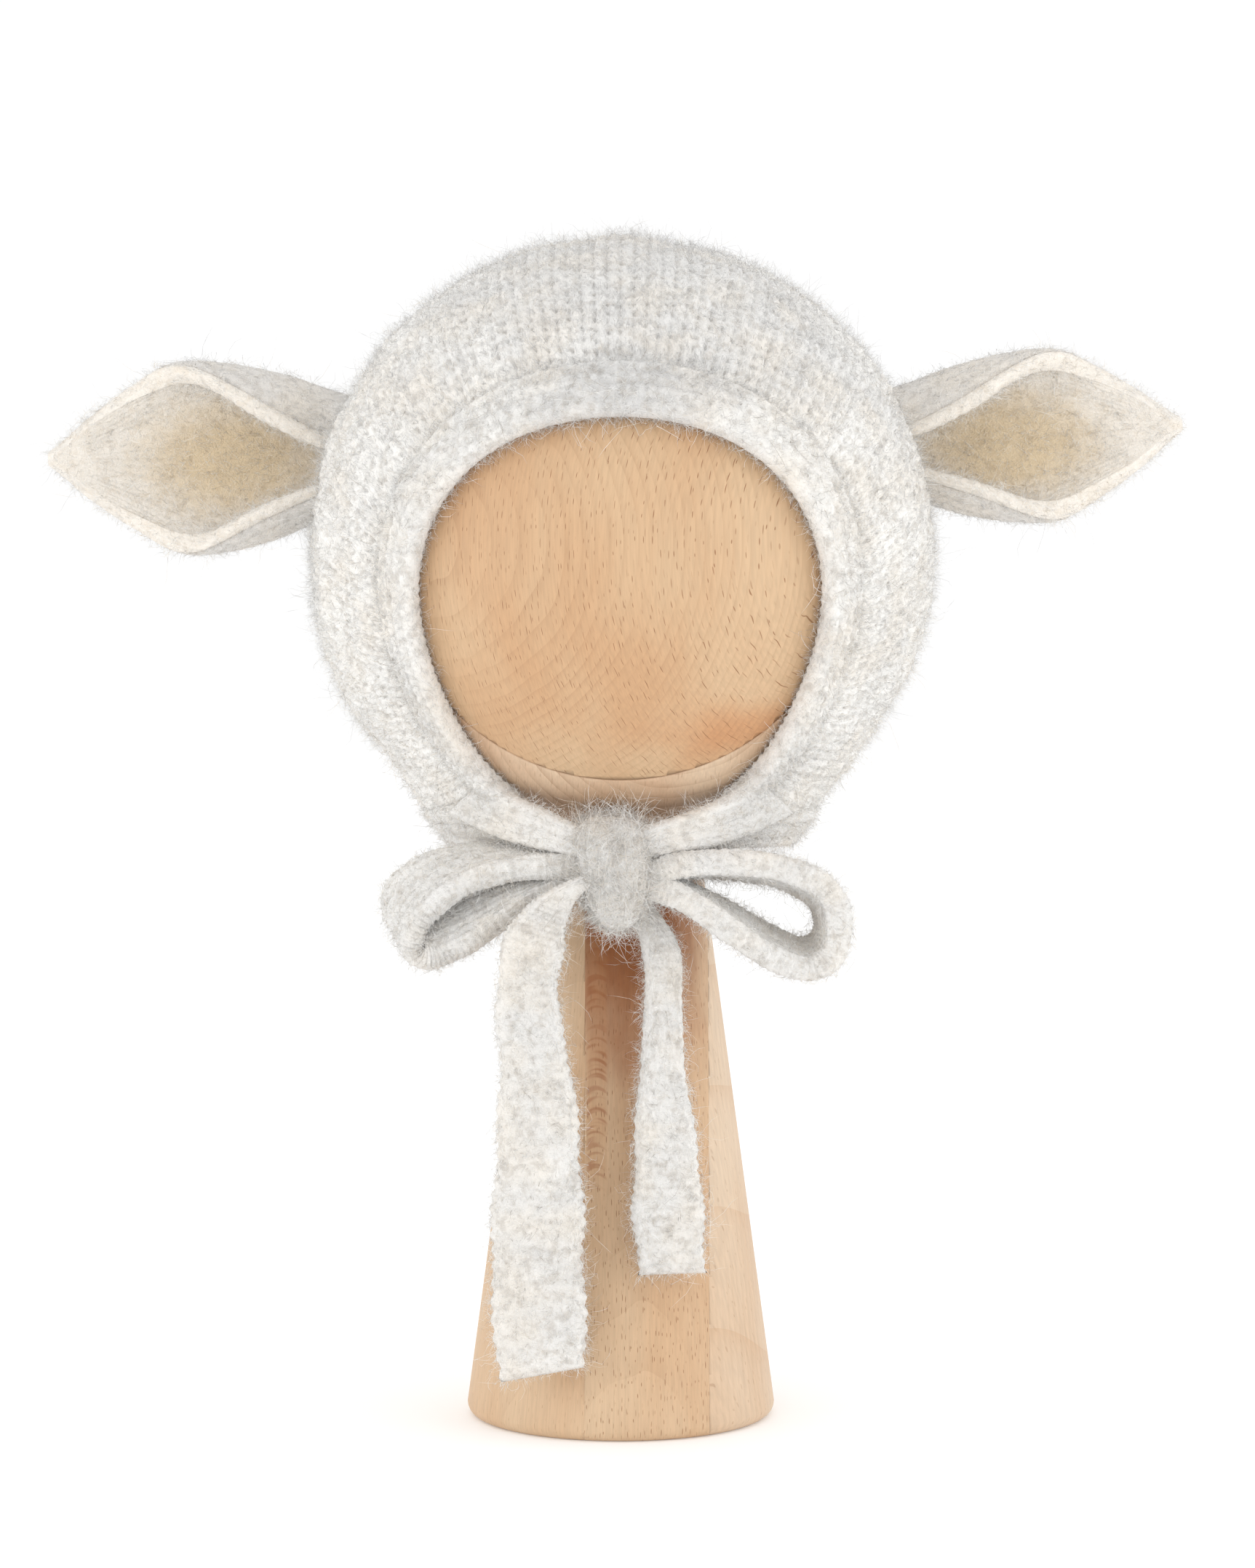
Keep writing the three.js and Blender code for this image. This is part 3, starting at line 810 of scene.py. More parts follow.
        # painted shade between the stitches: roots low on the stitches get dark and grey fibres
        depth = pile.painted_gap_shade(points) if callable(pile.painted_gap_shade) else pile.painted_gap_shade
        gap = np.clip(1.15 - high / 0.5, 0, 1) * depth
        odds[:, 3] += 0.9 * gap
        odds[:, 1] += 0.6 * gap
        ranks = np.cumsum(odds / odds.sum(axis=1, keepdims=True), axis=1)
        return (self.rng.random((len(points), 1)) > ranks).sum(axis=1).clip(0, 4)

    def pieces(self, name: str, strands: Array, tones: Array,
               part: Array | None = None) -> list[bpy.types.Object]:
        """Packs strands into objects.

        Args:
            name: the pieces' name, which gets a number where there is more than one.
            strands: corner points of each fibre.
            tones: the colour number of each fibre.
            part: sorts the fibres, so that a piece holds neighbours.

        Returns:
            The objects.
        """
        rings = (strands.shape[1] - 2) // 3
        faces = [(0, 1 + (k + 1) % 3, 1 + k) for k in range(3)]
        for ring in range(rings - 1):
            base = 1 + 3 * ring
            for k in range(3):
                a, b = base + k, base + (k + 1) % 3
                faces += [(a, b, b + 3), (a, b + 3, a + 3)]
        base, last = 1 + 3 * (rings - 1), strands.shape[1] - 1
        faces += [(base + k, base + (k + 1) % 3, last) for k in range(3)]
        pattern = np.array(faces)
        order = np.argsort(part, kind="stable") if part is not None else np.arange(len(strands))
        groups = np.array_split(order, max(1, math.ceil(len(order) * len(pattern) / self.most)))
        made = []
        for number, group in enumerate(groups, 1):
            corners = strands[group].reshape(-1, 3) * MM
            index = (pattern[None] + (np.arange(len(group)) * strands.shape[1])[:, None, None]).reshape(-1, 3)
            mesh = bpy.data.meshes.new(name)
            mesh.vertices.add(len(corners))
            mesh.vertices.foreach_set("co", corners.astype(np.float32).ravel())
            mesh.loops.add(index.size)
            mesh.loops.foreach_set("vertex_index", index.astype(np.int32).ravel())
            mesh.polygons.add(len(index))
            mesh.polygons.foreach_set("loop_start", np.arange(0, index.size, 3, dtype=np.int32))
            mesh.polygons.foreach_set("material_index",
                                      np.repeat(tones[group], len(pattern)).astype(np.int32))
            mesh.update(calc_edges=True)
            mesh.shade_smooth()
            for material in self.materials:
                mesh.materials.append(material)
            label = name if len(groups) == 1 else f"{name}_{number}"
            obj = bpy.data.objects.new(label, mesh)
            bpy.context.scene.collection.objects.link(obj)
            made.append(obj)
        return made

    def cover(self, name: str, frame: Callable, pile: Pile, keep: Callable | None = None,
              part: Callable | None = None, crest: Callable | None = None) -> list[bpy.types.Object]:
        """Grows short brushed fibres and long curly strays on a surface.

        Args:
            name: what the pieces are called.
            frame: the surface, as for seeds.
            pile: how the fibres stand.
            keep: says which roots may stay.
            part: sorts the fibres into pieces from their roots.
            crest: the stitches' height from (u, v).

        Returns:
            The pieces of fibre.
        """
        rng = self.rng
        made = []
        layers = (
            ("fuzz", pile.density, pile.length, pile.width, 2, (pile.lift, 0.16), pile.spread,
             pile.curl, crest),
            ("halo", pile.halo, pile.halo_length, 0.06, 2, (0.75, 0.35), 1.2, 1.0, crest),
            ("strays", pile.stray_density, pile.stray_length, pile.stray_width, 4, (0.45, 0.3), 1.4,
             0.8, crest),
        )
        for layer, density, reach, width, steps, lean, spread, curl, over in layers:
            share = pile.gap_share if layer == "fuzz" else 1.0
            roots = self.seeds(frame, density, keep, over, share)
            count = len(roots[0])
            if not count:
                continue
            low = np.clip(roots[3], 0, 1) if layer == "fuzz" else np.ones(count)
            lift = np.abs(rng.normal(*lean, count)) * (0.5 + 0.5 * low)
            length = (reach[0] + (reach[1] - reach[0]) * rng.random(count) ** 1.5) * (0.65 + 0.35 * low)
            strands = self.strands(roots, length, width, steps, lift, spread, curl)
            made += self.pieces(f"{name}_{layer}", strands, self.tones(roots, pile),
                                part(roots[0]) if part else None)
        return made


# ---------------------------------------------------------------- stand


@dataclass
class Stand:
    """A truncated cone of three glued boards under a ball of four. Sizes in millimetres."""

    base_radius: float = 37.0
    rounding: float = 3.0
    cone_height: float = 140.5
    neck_radius: float = 18.5
    glue_left: float = -8.4
    glue_right: float = 20.8
    ball_radius: float = 70.0
    ball_height: float = BALL_MIDDLE
    board: float = 45.0
    steps: int = 192

    def turned_cone(self) -> bmesh.types.BMesh:
        """The whole cone, spun from its outline."""
        corner = [(self.base_radius - self.rounding * (1 - math.sin(a)), self.rounding * (1 - math.cos(a)))
                  for a in np.linspace(0, math.pi / 2, 7)]
        wall = [(self.base_radius + (self.neck_radius - self.base_radius) * k,
                 self.rounding + (self.cone_height - self.rounding) * k) for k in np.linspace(0, 1, 25)[1:]]
        outline = [(0.0, 0.0), *corner, *wall, (0.0, self.cone_height)]
        bm = bmesh.new()
        corners = [bm.verts.new((r * MM, 0, z * MM)) for r, z in outline]
        edges = [bm.edges.new(pair) for pair in zip(corners, corners[1:])]
        bmesh.ops.spin(bm, geom=corners + edges, cent=(0, 0, 0), axis=(0, 0, 1), angle=FULL_TURN,
                       steps=self.steps, use_merge=True)
        bmesh.ops.remove_doubles(bm, verts=bm.verts[:], dist=1e-6)
        bmesh.ops.recalc_face_normals(bm, faces=bm.faces[:])
        return bm

    def turned_ball(self) -> bmesh.types.BMesh:
        """The whole ball, flat where it sits on the cone."""
        bm = bmesh.new()
        bmesh.ops.create_uvsphere(bm, u_segments=self.steps, v_segments=96, radius=self.ball_radius * MM)
        bmesh.ops.translate(bm, verts=bm.verts[:], vec=(0, 0, self.ball_height * MM))
        return self.sawn(bm, (0, 0, 1), self.cone_height, 1e3)

    @staticmethod
    def sawn(bm: bmesh.types.BMesh, axis: Point, low: float, high: float) -> bmesh.types.BMesh:
        """Cuts a mesh by two planes across an axis and closes the cuts.

        Args:
            bm: the mesh.
            axis: the direction across the board.
            low: the first plane, in millimetres.
            high: the second plane.

        Returns:
            The same mesh.
        """
        for place, way in ((low, -1), (high, 1)):
            normal = Vector(axis) * way
            cut = bmesh.ops.bisect_plane(bm, geom=bm.verts[:] + bm.edges[:] + bm.faces[:], dist=1e-7,
                                         plane_co=Vector(axis) * place * MM, plane_no=normal,
                                         clear_outer=True)
            rim = [e for e in cut["geom_cut"] if isinstance(e, bmesh.types.BMEdge)]
            if rim:
                bmesh.ops.contextual_create(bm, geom=rim)
        bmesh.ops.recalc_face_normals(bm, faces=bm.faces[:])
        return bm

    def build(self) -> None:
        """Makes every board and dresses it."""
        far = 1e3
        boards = [
            ("cone_left_lamella", (-far, self.glue_left),
             Beech("beech_left_board", turn=0.5, ring_depth=0.08, fleck_gap=(1.4, 4), fleck_size=(0.09, 0.8),
                   fleck_depth=0.3)),
            ("cone_centre_lamella", (self.glue_left, self.glue_right),
             Beech("beech_centre_board", turn=-0.1, ring_depth=0.12, fleck_gap=(1.0, 2.8),
                   fleck_size=(0.09, 0.85), fleck_depth=0.75, arcs=(-5.6, 2.6, 60.0, 126.0),
                   # painted shade under the bow's knot: a dark warm patch over the top of the centre board
                   patch=((4, -26, 128), (30, 34, 62), "B5783F", 0.95))),
            ("cone_right_lamella", (self.glue_right, far),
             Beech("beech_right_board", light="D5BFA6", warm="CDB092", turn=1.1, ring_depth=0.12,
                   fleck_gap=(1.5, 4), fleck_size=(0.09, 0.8), fleck_depth=0.3, sweep=(20.8, 28.0))),
        ]
        for name, (low, high), finish in boards:
            self.dress(name, self.sawn(self.turned_cone(), (1, 0, 0), low, high), finish)
        front = Beech("beech_front_board", light="CDAE8B", warm="C69E78", turn=math.radians(40),
                      pith=(0, 240), ring=1.6, ring_depth=0.18,
                      fleck_gap=(1.15, 2.9), fleck_size=(0.062, 1.15), fleck_depth=0.75,
                      glue=(1, -self.board), patch=((30, -50, 166), (30, 14, 9), "F0BE90", 0.5))
        second = Beech("beech_second_board", pith=(22, -78), ring=3.6, ring_depth=0.42, fleck_depth=0.25,
                       light="D9C0A4", warm="CEAC8D", glue=(1, -self.board))
        rest = Beech("beech_back_boards", turn=0.4, pith=(10, 90), ring=3.0, ring_depth=0.3)
        names = ["ball_front_board", "ball_second_board", "ball_third_board", "ball_back_board"]
        for k, (name, finish) in enumerate(zip(names, [front, second, rest, rest], strict=True)):
            low = (k - 2) * self.board
            mesh = self.sawn(self.turned_ball(), (0, 1, 0), low, low + self.board)
            self.dress(name, mesh, finish)

    def dress(self, node: str, mesh: bmesh.types.BMesh, finish: Beech) -> None:
        """Makes a board's object in place of its CAD node."""
        piece = make_object(node + "_turned", mesh, finish.material())
        for polygon in piece.data.polygons:
            polygon.use_smooth = len(polygon.vertices) <= 4
        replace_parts(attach(piece, "stand"), node)
        LOG.info("%s: %d faces", piece.name, len(piece.data.polygons))


# ---------------------------------------------------------------- bonnet


@dataclass
class Head:
    """The ball's centre and the face opening, which everything on the bonnet follows."""

    height: float = BALL_MIDDLE
    tilt: float = math.radians(20)
    funnel: float = math.radians(52.9)
    outside: float = HOOD_OUTSIDE
    bottom: float = 144.9

    def way(self, away: Array, round_: Array) -> Array:
        """Directions from the ball's centre.

        Args:
            away: radians from the face axis.
            round_: radians round it, from the top.

        Returns:
            Unit vectors.
        """
        axis = np.array([0, -math.cos(self.tilt), -math.sin(self.tilt)])
        up = np.array([0, -math.sin(self.tilt), math.cos(self.tilt)])
        sa = np.sin(away)[:, None]
        return (np.cos(away)[:, None] * axis + sa * np.cos(round_)[:, None] * up
                + sa * np.sin(round_)[:, None] * np.array([1.0, 0, 0]))

    @staticmethod
    def edge(round_: Array) -> Array:
        """Radians from the face axis to the edge of the opening."""
        return np.radians(41 + np.cos(round_) + 2.6 * np.cos(2 * round_) - 2.2 * np.cos(3 * round_))

    @staticmethod
    def hem(round_: Array) -> Array:
        """The hem's width in radians."""
        return np.radians(9 + 3.2 * np.cos(round_))

    def on_hood(self, ways: Array, extra: Array | float = 0.0, radius: float | None = None) -> Array:
        """Points where directions meet the ball's outline and the funnel below it."""
        reach = (self.outside if radius is None else radius) + extra
        down = -ways[:, 2]
        flat = np.hypot(ways[:, 0], ways[:, 1])
        # The funnel is a straight cone that touches the sphere at its angle from straight down.
        slope = flat * math.sin(self.funnel) + down * math.cos(self.funnel)
        below = np.arctan2(flat, down) < self.funnel
        distance = np.where(below, reach / np.maximum(slope, 1e-3), reach)
        return ways * distance[:, None] + np.array([0, 0, self.height])


@dataclass
class Hood:
    """The knitted hood over the ball, its hem, its neck edge and the gather at the crown."""

    head: Head
    fluff: Fluff
    columns: int = 144
    row: float = 2.3
    outer_rows: int = 156
    inner_rows: int = 12
    relief: float = 1.35
    hem_middle: float = 73.5
    hem_thick: float = 5.8

    def outer(self, u: Array, v: Array) -> tuple[Array, Array, Array]:
        """The outside of the hood: u round the face axis, v from the crown to the hem."""
        round_ = (u - 0.5) * FULL_TURN
        start = self.head.edge(round_) + 0.7 * self.head.hem(round_)
        away = math.pi + (start - math.pi) * v**0.8
        ways = self.head.way(away, round_)
        width = np.sin(away) * self.head.outside * FULL_TURN / self.columns
        fine = smooth(width, 0.8, 2.2)
        height = (self.crest(u, v) - 0.6) * self.relief * fine
        points = self.head.on_hood(ways)
        height = height + 0.4 * waves(points, 26, 3) + 0.25 * waves(points, 9, 4)
        points = points + ways * height[:, None]
        step = 0.02
        back = self.head.on_hood(self.head.way(away + step, round_))
        front = self.head.on_hood(self.head.way(away - step, round_))
        return points, ways, unit(back - front)

    def crest(self, u: Array, v: Array) -> Array:
        """The stitches' height, 0 to 1; rows fade out behind, where the cloth is stretched least."""
        round_ = (u - 0.5) * FULL_TURN
        start = self.head.edge(round_) + 0.7 * self.head.hem(round_)
        arc = (math.pi - start) * (1 - v**0.8) * self.head.outside
        column = u * self.columns + 0.12 * np.sin(arc * 0.9 + 3 * np.sin(u * 40))
        rows = Stitch.SMOOTH.height(column, arc / self.row)
        plain = Stitch.SMOOTH.height(column, np.full_like(u, 0.5))
        near = smooth(arc, 105, 70)
        return rows * near + plain * (1 - near)

    def place(self, u: Array, v: Array) -> Array:
        """The hood's skin: the outside down to the hem, then the inside back up."""
        share = self.outer_rows / (self.outer_rows + self.inner_rows)
        round_ = (u - 0.5) * FULL_TURN
        start = self.head.edge(round_) + 0.7 * self.head.hem(round_)
        away = start + (math.pi - start) * np.clip((v - share) / (1 - share), 0, 1)
        inside = self.head.on_hood(self.head.way(away, round_), radius=71.0)
        outside = self.outer(u, np.clip(v / share, 0, 1))[0]
        return np.where((v <= share + 1e-9)[:, None], outside, inside)

    def build(self) -> None:
        """Makes the hood and the pieces sewn to it."""
        self.build_hood()
        self.build_hem()
        self.build_band()
        self.build_gather()

    def build_hood(self) -> None:
        """The hood itself: one fine skin, outside and inside, cut level at the neck, where it is open."""
        bm = shaped_grid(4 * self.columns, self.outer_rows + self.inner_rows, self.place)
        cut = bmesh.ops.bisect_plane(bm, geom=bm.verts[:] + bm.edges[:] + bm.faces[:], dist=1e-6,
                                     plane_co=(0, 0, self.head.bottom * MM), plane_no=(0, 0, -1),
                                     clear_outer=True)
        rim = [e for e in cut["geom_cut"] if isinstance(e, bmesh.types.BMEdge) and e.is_boundary]
        bmesh.ops.triangle_fill(bm, use_beauty=True, edges=rim)
        bmesh.ops.recalc_face_normals(bm, faces=bm.faces[:])
        # the grey gathered at the front of the top is painted shade
        finish = Knit("brushed_knit_hood", middle=(18, -50, 262), reach=62)
        hood = make_object("hood_knit_skin", bm, finish.material())
        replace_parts(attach(hood, "bonnet"), "hood_shell")
        bottom = self.head.bottom

        def part(points: Array) -> Array:
            """Sorts roots by their angle round the stand."""
            return np.arctan2(points[:, 0], points[:, 1])

        def painted_gap_shade(points: Array) -> Array:
            """Painted shade between the stitches: strong at the front of the top, where the gaps are open, and
            weak lower down, where they close.
            """
            far = np.linalg.norm((points - np.array((0, -50, 262))) / 62, axis=1)
            return 0.15 + 1.5 * smooth(far, 1.25, 0.3)

        pile = Pile(density=1.6, length=(2.0, 5.0), width=0.115, spread=0.28, halo=0.6,
                    halo_length=(3.0, 7.0), stray_density=0.06, gap_share=0.22, painted_gap_shade=painted_gap_shade)
        for piece in self.fluff.cover("hood", self.outer, pile, lambda p: p[:, 2] > bottom + 0.5, part,
                                      self.crest):
            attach(piece, "bonnet")
        LOG.info("hood: %d faces", len(hood.data.polygons))

    def build_hem(self) -> None:
        """The thicker band round the face."""
        end = math.radians(152)

        def middle(s: Array, t: Array) -> Array:
            round_ = (2 * s - 1) * end
            away = self.head.edge(round_) + t * self.head.hem(round_)
            return self.head.way(away, round_) * self.hem_middle + np.array([0, 0, self.head.height])

        def painted_gap_shade(points: Array) -> Array:
            """Painted shade between the purl bumps, strongest at the top."""
            return 0.3 + 1.3 * smooth(points[:, 2], 225, 262)

        hem = Cloth(middle, self.hem_thick - 0.4, columns=4.5, rows=104, across=26, along=416, edge=8,
                    margin=0.13, stitch=Stitch.GARTER, relief=1.0, end_round=(0.006, 0.006),
                    thin_edge=0.3, chain=(0.82, 1.2), bare=-1, rows_lengthwise=True)
        # the hem's grey gathered at the top is painted shade
        self.sew("face_hem", hem, Knit("brushed_knit_hem", grey_share=0.8, middle=(0, -60, 262), reach=60),
                 Pile(density=1.9, spread=1.2, halo=1.6, stray_density=0.14, painted_gap_shade=painted_gap_shade,
                      shares=(0.54, 0.28, 0.16, 0.02, 0)),
                 "hood_knit")

    def build_band(self) -> None:
        """The neck edge, open at the chin."""
        start, stop = math.radians(33), math.radians(-30)

        def middle(s: Array, t: Array) -> Array:
            turn = -start - (FULL_TURN - start + stop) * s
            height = 147.5 - 9.2 * t
            radius = 75.0 * math.sin(self.head.funnel) - (162.76 - height) / math.tan(self.head.funnel) - 2.3
            return np.stack([radius * np.sin(turn), -radius * np.cos(turn), height], axis=1)

        band = Cloth(middle, 4.6, columns=3, rows=84, across=10, along=336, edge=6, margin=0.22,
                     relief=0.8, end_round=(0.006, 0.006), bare=-1)
        self.sew("neck_band", band, Knit("brushed_knit_neck"), Pile(), "hood_knit")

    def build_gather(self) -> None:
        """The drawn-up ring of yarn at the crown."""
        centre = self.head.way(np.array([math.pi]), np.array([0.0]))[0] * 75.8 + np.array([0, 0, BALL_MIDDLE])
        out = Vector(self.head.way(np.array([math.pi]), np.array([0.0]))[0])
        bm = bmesh.new()
        turn = out.to_track_quat("Z", "X").to_matrix().to_4x4()
        made = bmesh.ops.create_circle(bm, segments=12, radius=1.2 * MM)
        bmesh.ops.rotate(bm, verts=made["verts"], matrix=Vector((0, 1, 0)).rotation_difference(
            Vector((0, 0, 1))).to_matrix(), cent=(0, 0, 0))
        bmesh.ops.translate(bm, verts=made["verts"], vec=(3.4 * MM, 0, 0))
        bmesh.ops.spin(bm, geom=bm.verts[:] + bm.edges[:], cent=(0, 0, 0), axis=(0, 0, 1), angle=FULL_TURN,
                       steps=72, use_merge=True)
        for vertex in bm.verts:
            turn_at = math.atan2(vertex.co.y, vertex.co.x)
            vertex.co.z *= 1 + 0.35 * math.cos(9 * turn_at)
        bmesh.ops.transform(bm, matrix=turn, verts=bm.verts[:])
        bmesh.ops.translate(bm, verts=bm.verts[:], vec=(centre * MM).tolist())
        bmesh.ops.recalc_face_normals(bm, faces=bm.faces[:])
        ring = make_object("crown_gather_yarn", bm, Knit("brushed_knit_crown").material())
        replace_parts(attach(ring, "bonnet"), "crown_gather")

    def sew(self, name: str, cloth: Cloth, finish: Knit, pile: Pile, slot: str) -> bpy.types.Object:
        """Makes one cloth on the bonnet with its fibres."""
        piece = make_object(name + "_knit", cloth.mesh(), finish.material())
        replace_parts(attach(piece, "bonnet"), name)
        declare(piece, cloth)
        for fuzz in self.fluff.cover(name, cloth.frame, pile, crest=cloth.crest):
            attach(fuzz, "bonnet")
        LOG.info("%s: %d faces", name, len(piece.data.polygons))
        return piece


# ---------------------------------------------------------------- bow


def strap(front: Rail, rear: Rail) -> Place:
    """The middle surface of a strap between two edges."""

    def middle(s: Array, t: Array) -> Array:
        return rail_point(front, s) * (1 - t[:, None]) + rail_point(rear, s) * t[:, None]

    return middle


@dataclass
class Bow:
    """One flat knitted tie in a bow: a knot, two leads from the hood, two loops and two tails."""

    fluff: Fluff
    thickness: float = 4.0

    LOOP_LEFT = (
        [(-5, -43, 133.6), (-12, -43.4, 134.2), (-19.1, -43.4, 134), (-27.5, -43.4, 132.8), (-34.7, -43.6, 130.2),
         (-40.7, -43.8, 126), (-45.4, -43.8, 120.8), (-47.2, -43.8, 116.4), (-46, -43.4, 113.2),
         (-42, -43, 112.4), (-37, -42.6, 114.4), (-31, -42.2, 118), (-23.9, -41.8, 123.2),
         (-16.8, -41, 127.5), (-8, -41, 131)],
        [(-5, -37, 134), (-12, -35.5, 135.4), (-20, -33, 136.4), (-28, -31.4, 137), (-36, -30.4, 137),
         (-43, -29.6, 136), (-49.8, -29, 133), (-53.4, -29, 128.2), (-53, -29, 124.4), (-49, -29.4, 122.8),
         (-43, -30, 124.8), (-35, -31.4, 128), (-25, -33.6, 130.6), (-16.8, -36, 131), (-8, -38, 132)],
    )
    LOOP_RIGHT = (
        [(2, -43, 132), (8.2, -44, 133.4), (12.5, -44.6, 134.8), (19, -45, 135.6), (28, -45, 135.6),
         (36, -45, 134.6), (42, -45, 132.8), (47, -45, 130), (50, -45, 125), (50.4, -45, 118.6),
         (48.4, -45, 113), (44, -45, 110.6), (38, -45, 111.8), (31.8, -45, 114.8), (25.6, -45, 119.2),
         (18.6, -45, 124.2), (12.8, -44.4, 127.8), (8.2, -44, 129.2), (2, -43, 130.4)],
        [(2, -38, 132), (8.2, -37, 133), (12.5, -35, 133.8), (19, -32, 133.8), (28, -30, 133.2),
         (36, -30, 131.6), (41.4, -30, 129.4), (45.4, -30, 126.2), (47.4, -30, 122.2), (47, -30, 118.6),
         (45, -30, 116), (41.6, -30, 115.2), (37.4, -30, 116.4), (32.2, -30, 119.2), (26.4, -31, 122.4),
         (19.6, -33, 126), (12.8, -35, 128.8), (8.2, -37, 129.6), (2, -38, 130.6)],
    )
    TAIL_LEFT = (
        [(-5, -44.5, 132), (-8, -45.6, 129.5), (-11.4, -46.6, 124.6), (-12.9, -46.4, 117.1), (-14.2, -46.2, 104),
         (-10.9, -45, 85), (-9, -44, 64), (-8.4, -42.6, 43), (-8.2, -41.2, 18.6)],
        [(-5, -44.2, 134), (-10.8, -46.4, 131.8), (-18.4, -47.6, 128), (-25.6, -47.4, 120.8),
         (-28.4, -46.2, 104), (-27.7, -45, 85), (-28.9, -44, 64), (-29.8, -42.6, 43), (-28, -41, 15)],
    )
    TAIL_RIGHT = (
        [(0, -38, 129), (1, -37, 126), (4, -37, 120), (5.3, -37.4, 113), (5.6, -38, 100), (4, -38.2, 82.7),
         (3.2, -38, 65), (2.8, -37.8, 52.7), (4.4, -37.6, 39.4)],
        [(1, -35, 130), (3, -34, 127), (10, -34.5, 121), (14, -35.4, 113), (14, -35.8, 100),
         (15.5, -36.6, 82.7), (18.2, -37, 65), (19.2, -37, 52.7), (19.6, -36.8, 39.8)],
    )

    def build(self) -> None:
        """Makes the knot, the leads, the loops and the tails."""
        self.build_knot()
        for side, knot_x, name in ((-1, -9.5, "tie_lead_left"), (1, 6.0, "tie_lead_right")):
            upper = [(side * 31, -40.6, 155.6), (side * 24.2, -39.6, 150.6), (side * 17.4, -41, 147.6),
                     (knot_x, -42.4, 144), (knot_x - side * 6, -42, 141)]
            lower = [(side * 40, -27, 146.5), (side * 30, -34.5, 141.5), (side * 20, -39.6, 138.6),
                     (knot_x, -42, 136.4), (knot_x - side * 6, -42, 135)]
            lead = Cloth(strap(upper, lower), 4.6, columns=4, rows=15, across=18, along=64, edge=6,
                         margin=0.14, relief=0.45, scallop=0.02)
            self.sew(name, lead, None, None)
        ways = {
            "bow_loop_left": (self.LOOP_LEFT, "loop_left", (-0.009, -0.039, 0.132),
                (-0.020, -0.039, 0.132), 128),
            "bow_loop_right": (self.LOOP_RIGHT, "loop_right", (0.003, -0.039, 0.131),
                (0.014, -0.039, 0.131), 140),
            "tie_tail_left": (self.TAIL_LEFT, "tail_left", (-0.018, -0.0455, 0.126),
                (-0.018, -0.0455, 0.110), 118),
            "tie_tail_right": (self.TAIL_RIGHT, "tail_right", (0.0095, -0.0363, 0.122),
                (0.0095, -0.0363, 0.106), 92),
        }
        for name, (rails, body, start, end, length) in ways.items():
            rows = length / 2.3
            tail = name.startswith("tie_tail")
            cloth = Cloth(strap(*rails), self.thickness + (0 if tail else 1.4), columns=7, rows=rows,
                          across=28, along=round(rows * 4), edge=6, margin=0.12, relief=0.65,
                          ridge=0.4, scallop=0.04, end_round=(0.02, 0.03),
                          chain=(0.1, 0.7) if tail else None,
                          stitch=Stitch.GARTER if tail else Stitch.SMOOTH)
            self.sew(name, cloth, body, (start, end))

    def build_knot(self) -> None:
        """The knot: the tie wound once round itself, drawn tight, with soft upright folds."""
        middle, size = np.array((-1.6, -40.4, 133.0)), np.array((9.4, 7.6, 12.9))

        def frame(u: Array, v: Array) -> tuple[Array, Array, Array]:
            turn, rise = u * FULL_TURN, (v - 0.5) * math.pi
            flat = np.cos(rise)
            ways = np.stack([flat * np.sin(turn), -flat * np.cos(turn), np.sin(rise)], axis=1)
            level = np.sign(ways[:, 2]) * np.abs(ways[:, 2]) ** 0.8
            squared = ways / (np.abs(ways[:, :1]) ** 3 + np.abs(ways[:, 1:2]) ** 3 + 1e-9) ** (1 / 3)
            squared = squared * (flat ** 0.55)[:, None]
            across = (ways[:, 0] - 0.12 + 0.1 * ways[:, 2]) / 0.13
            crease = -0.13 * np.exp(-(across**2)) * (ways[:, 1] < 0)
            fold = 1 + (0.04 * np.cos(7 * turn + 1.2 * rise) + crease) * flat
            narrow = 0.84 + 0.22 * ways[:, 2] - 0.08 * (ways[:, 2] < -0.5) * (ways[:, 2] + 0.5) ** 2
            knit = 0.07 * (self.knot_crest(u, v) - 0.5) * flat
            shape = np.stack([squared[:, 0] * (fold + knit) * narrow - 0.1 * ways[:, 2],
                              squared[:, 1] * (fold + knit), level], axis=1)
            points = middle + shape * size
            out = unit(ways / size)
            along = np.stack([np.zeros_like(u), np.zeros_like(u), np.ones_like(u)], axis=1)
            return points, out, unit(along - out * (along * out).sum(axis=1, keepdims=True) + 1e-6)

        bm = shaped_grid(128, 72, lambda u, v: frame(u, v)[0])
        knot = make_object("bow_knot_knit", bm, Knit("brushed_knit_knot").material())
        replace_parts(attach(knot, "bonnet"), "bow_knot")
        pile = Pile(density=2.6, halo=3.0, stray_density=1.6, spread=0.6, painted_gap_shade=0.4,
                    shares=(0.66, 0.12, 0.2, 0.02, 0))
        for fuzz in self.fluff.cover("bow_knot", frame, pile, crest=self.knot_crest):
            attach(fuzz, "bonnet")

    @staticmethod
    def knot_crest(u: Array, v: Array) -> Array:
        """The knot's stitches: columns that run up and down round it."""
        return Stitch.SMOOTH.height(u * 17, v * 12)

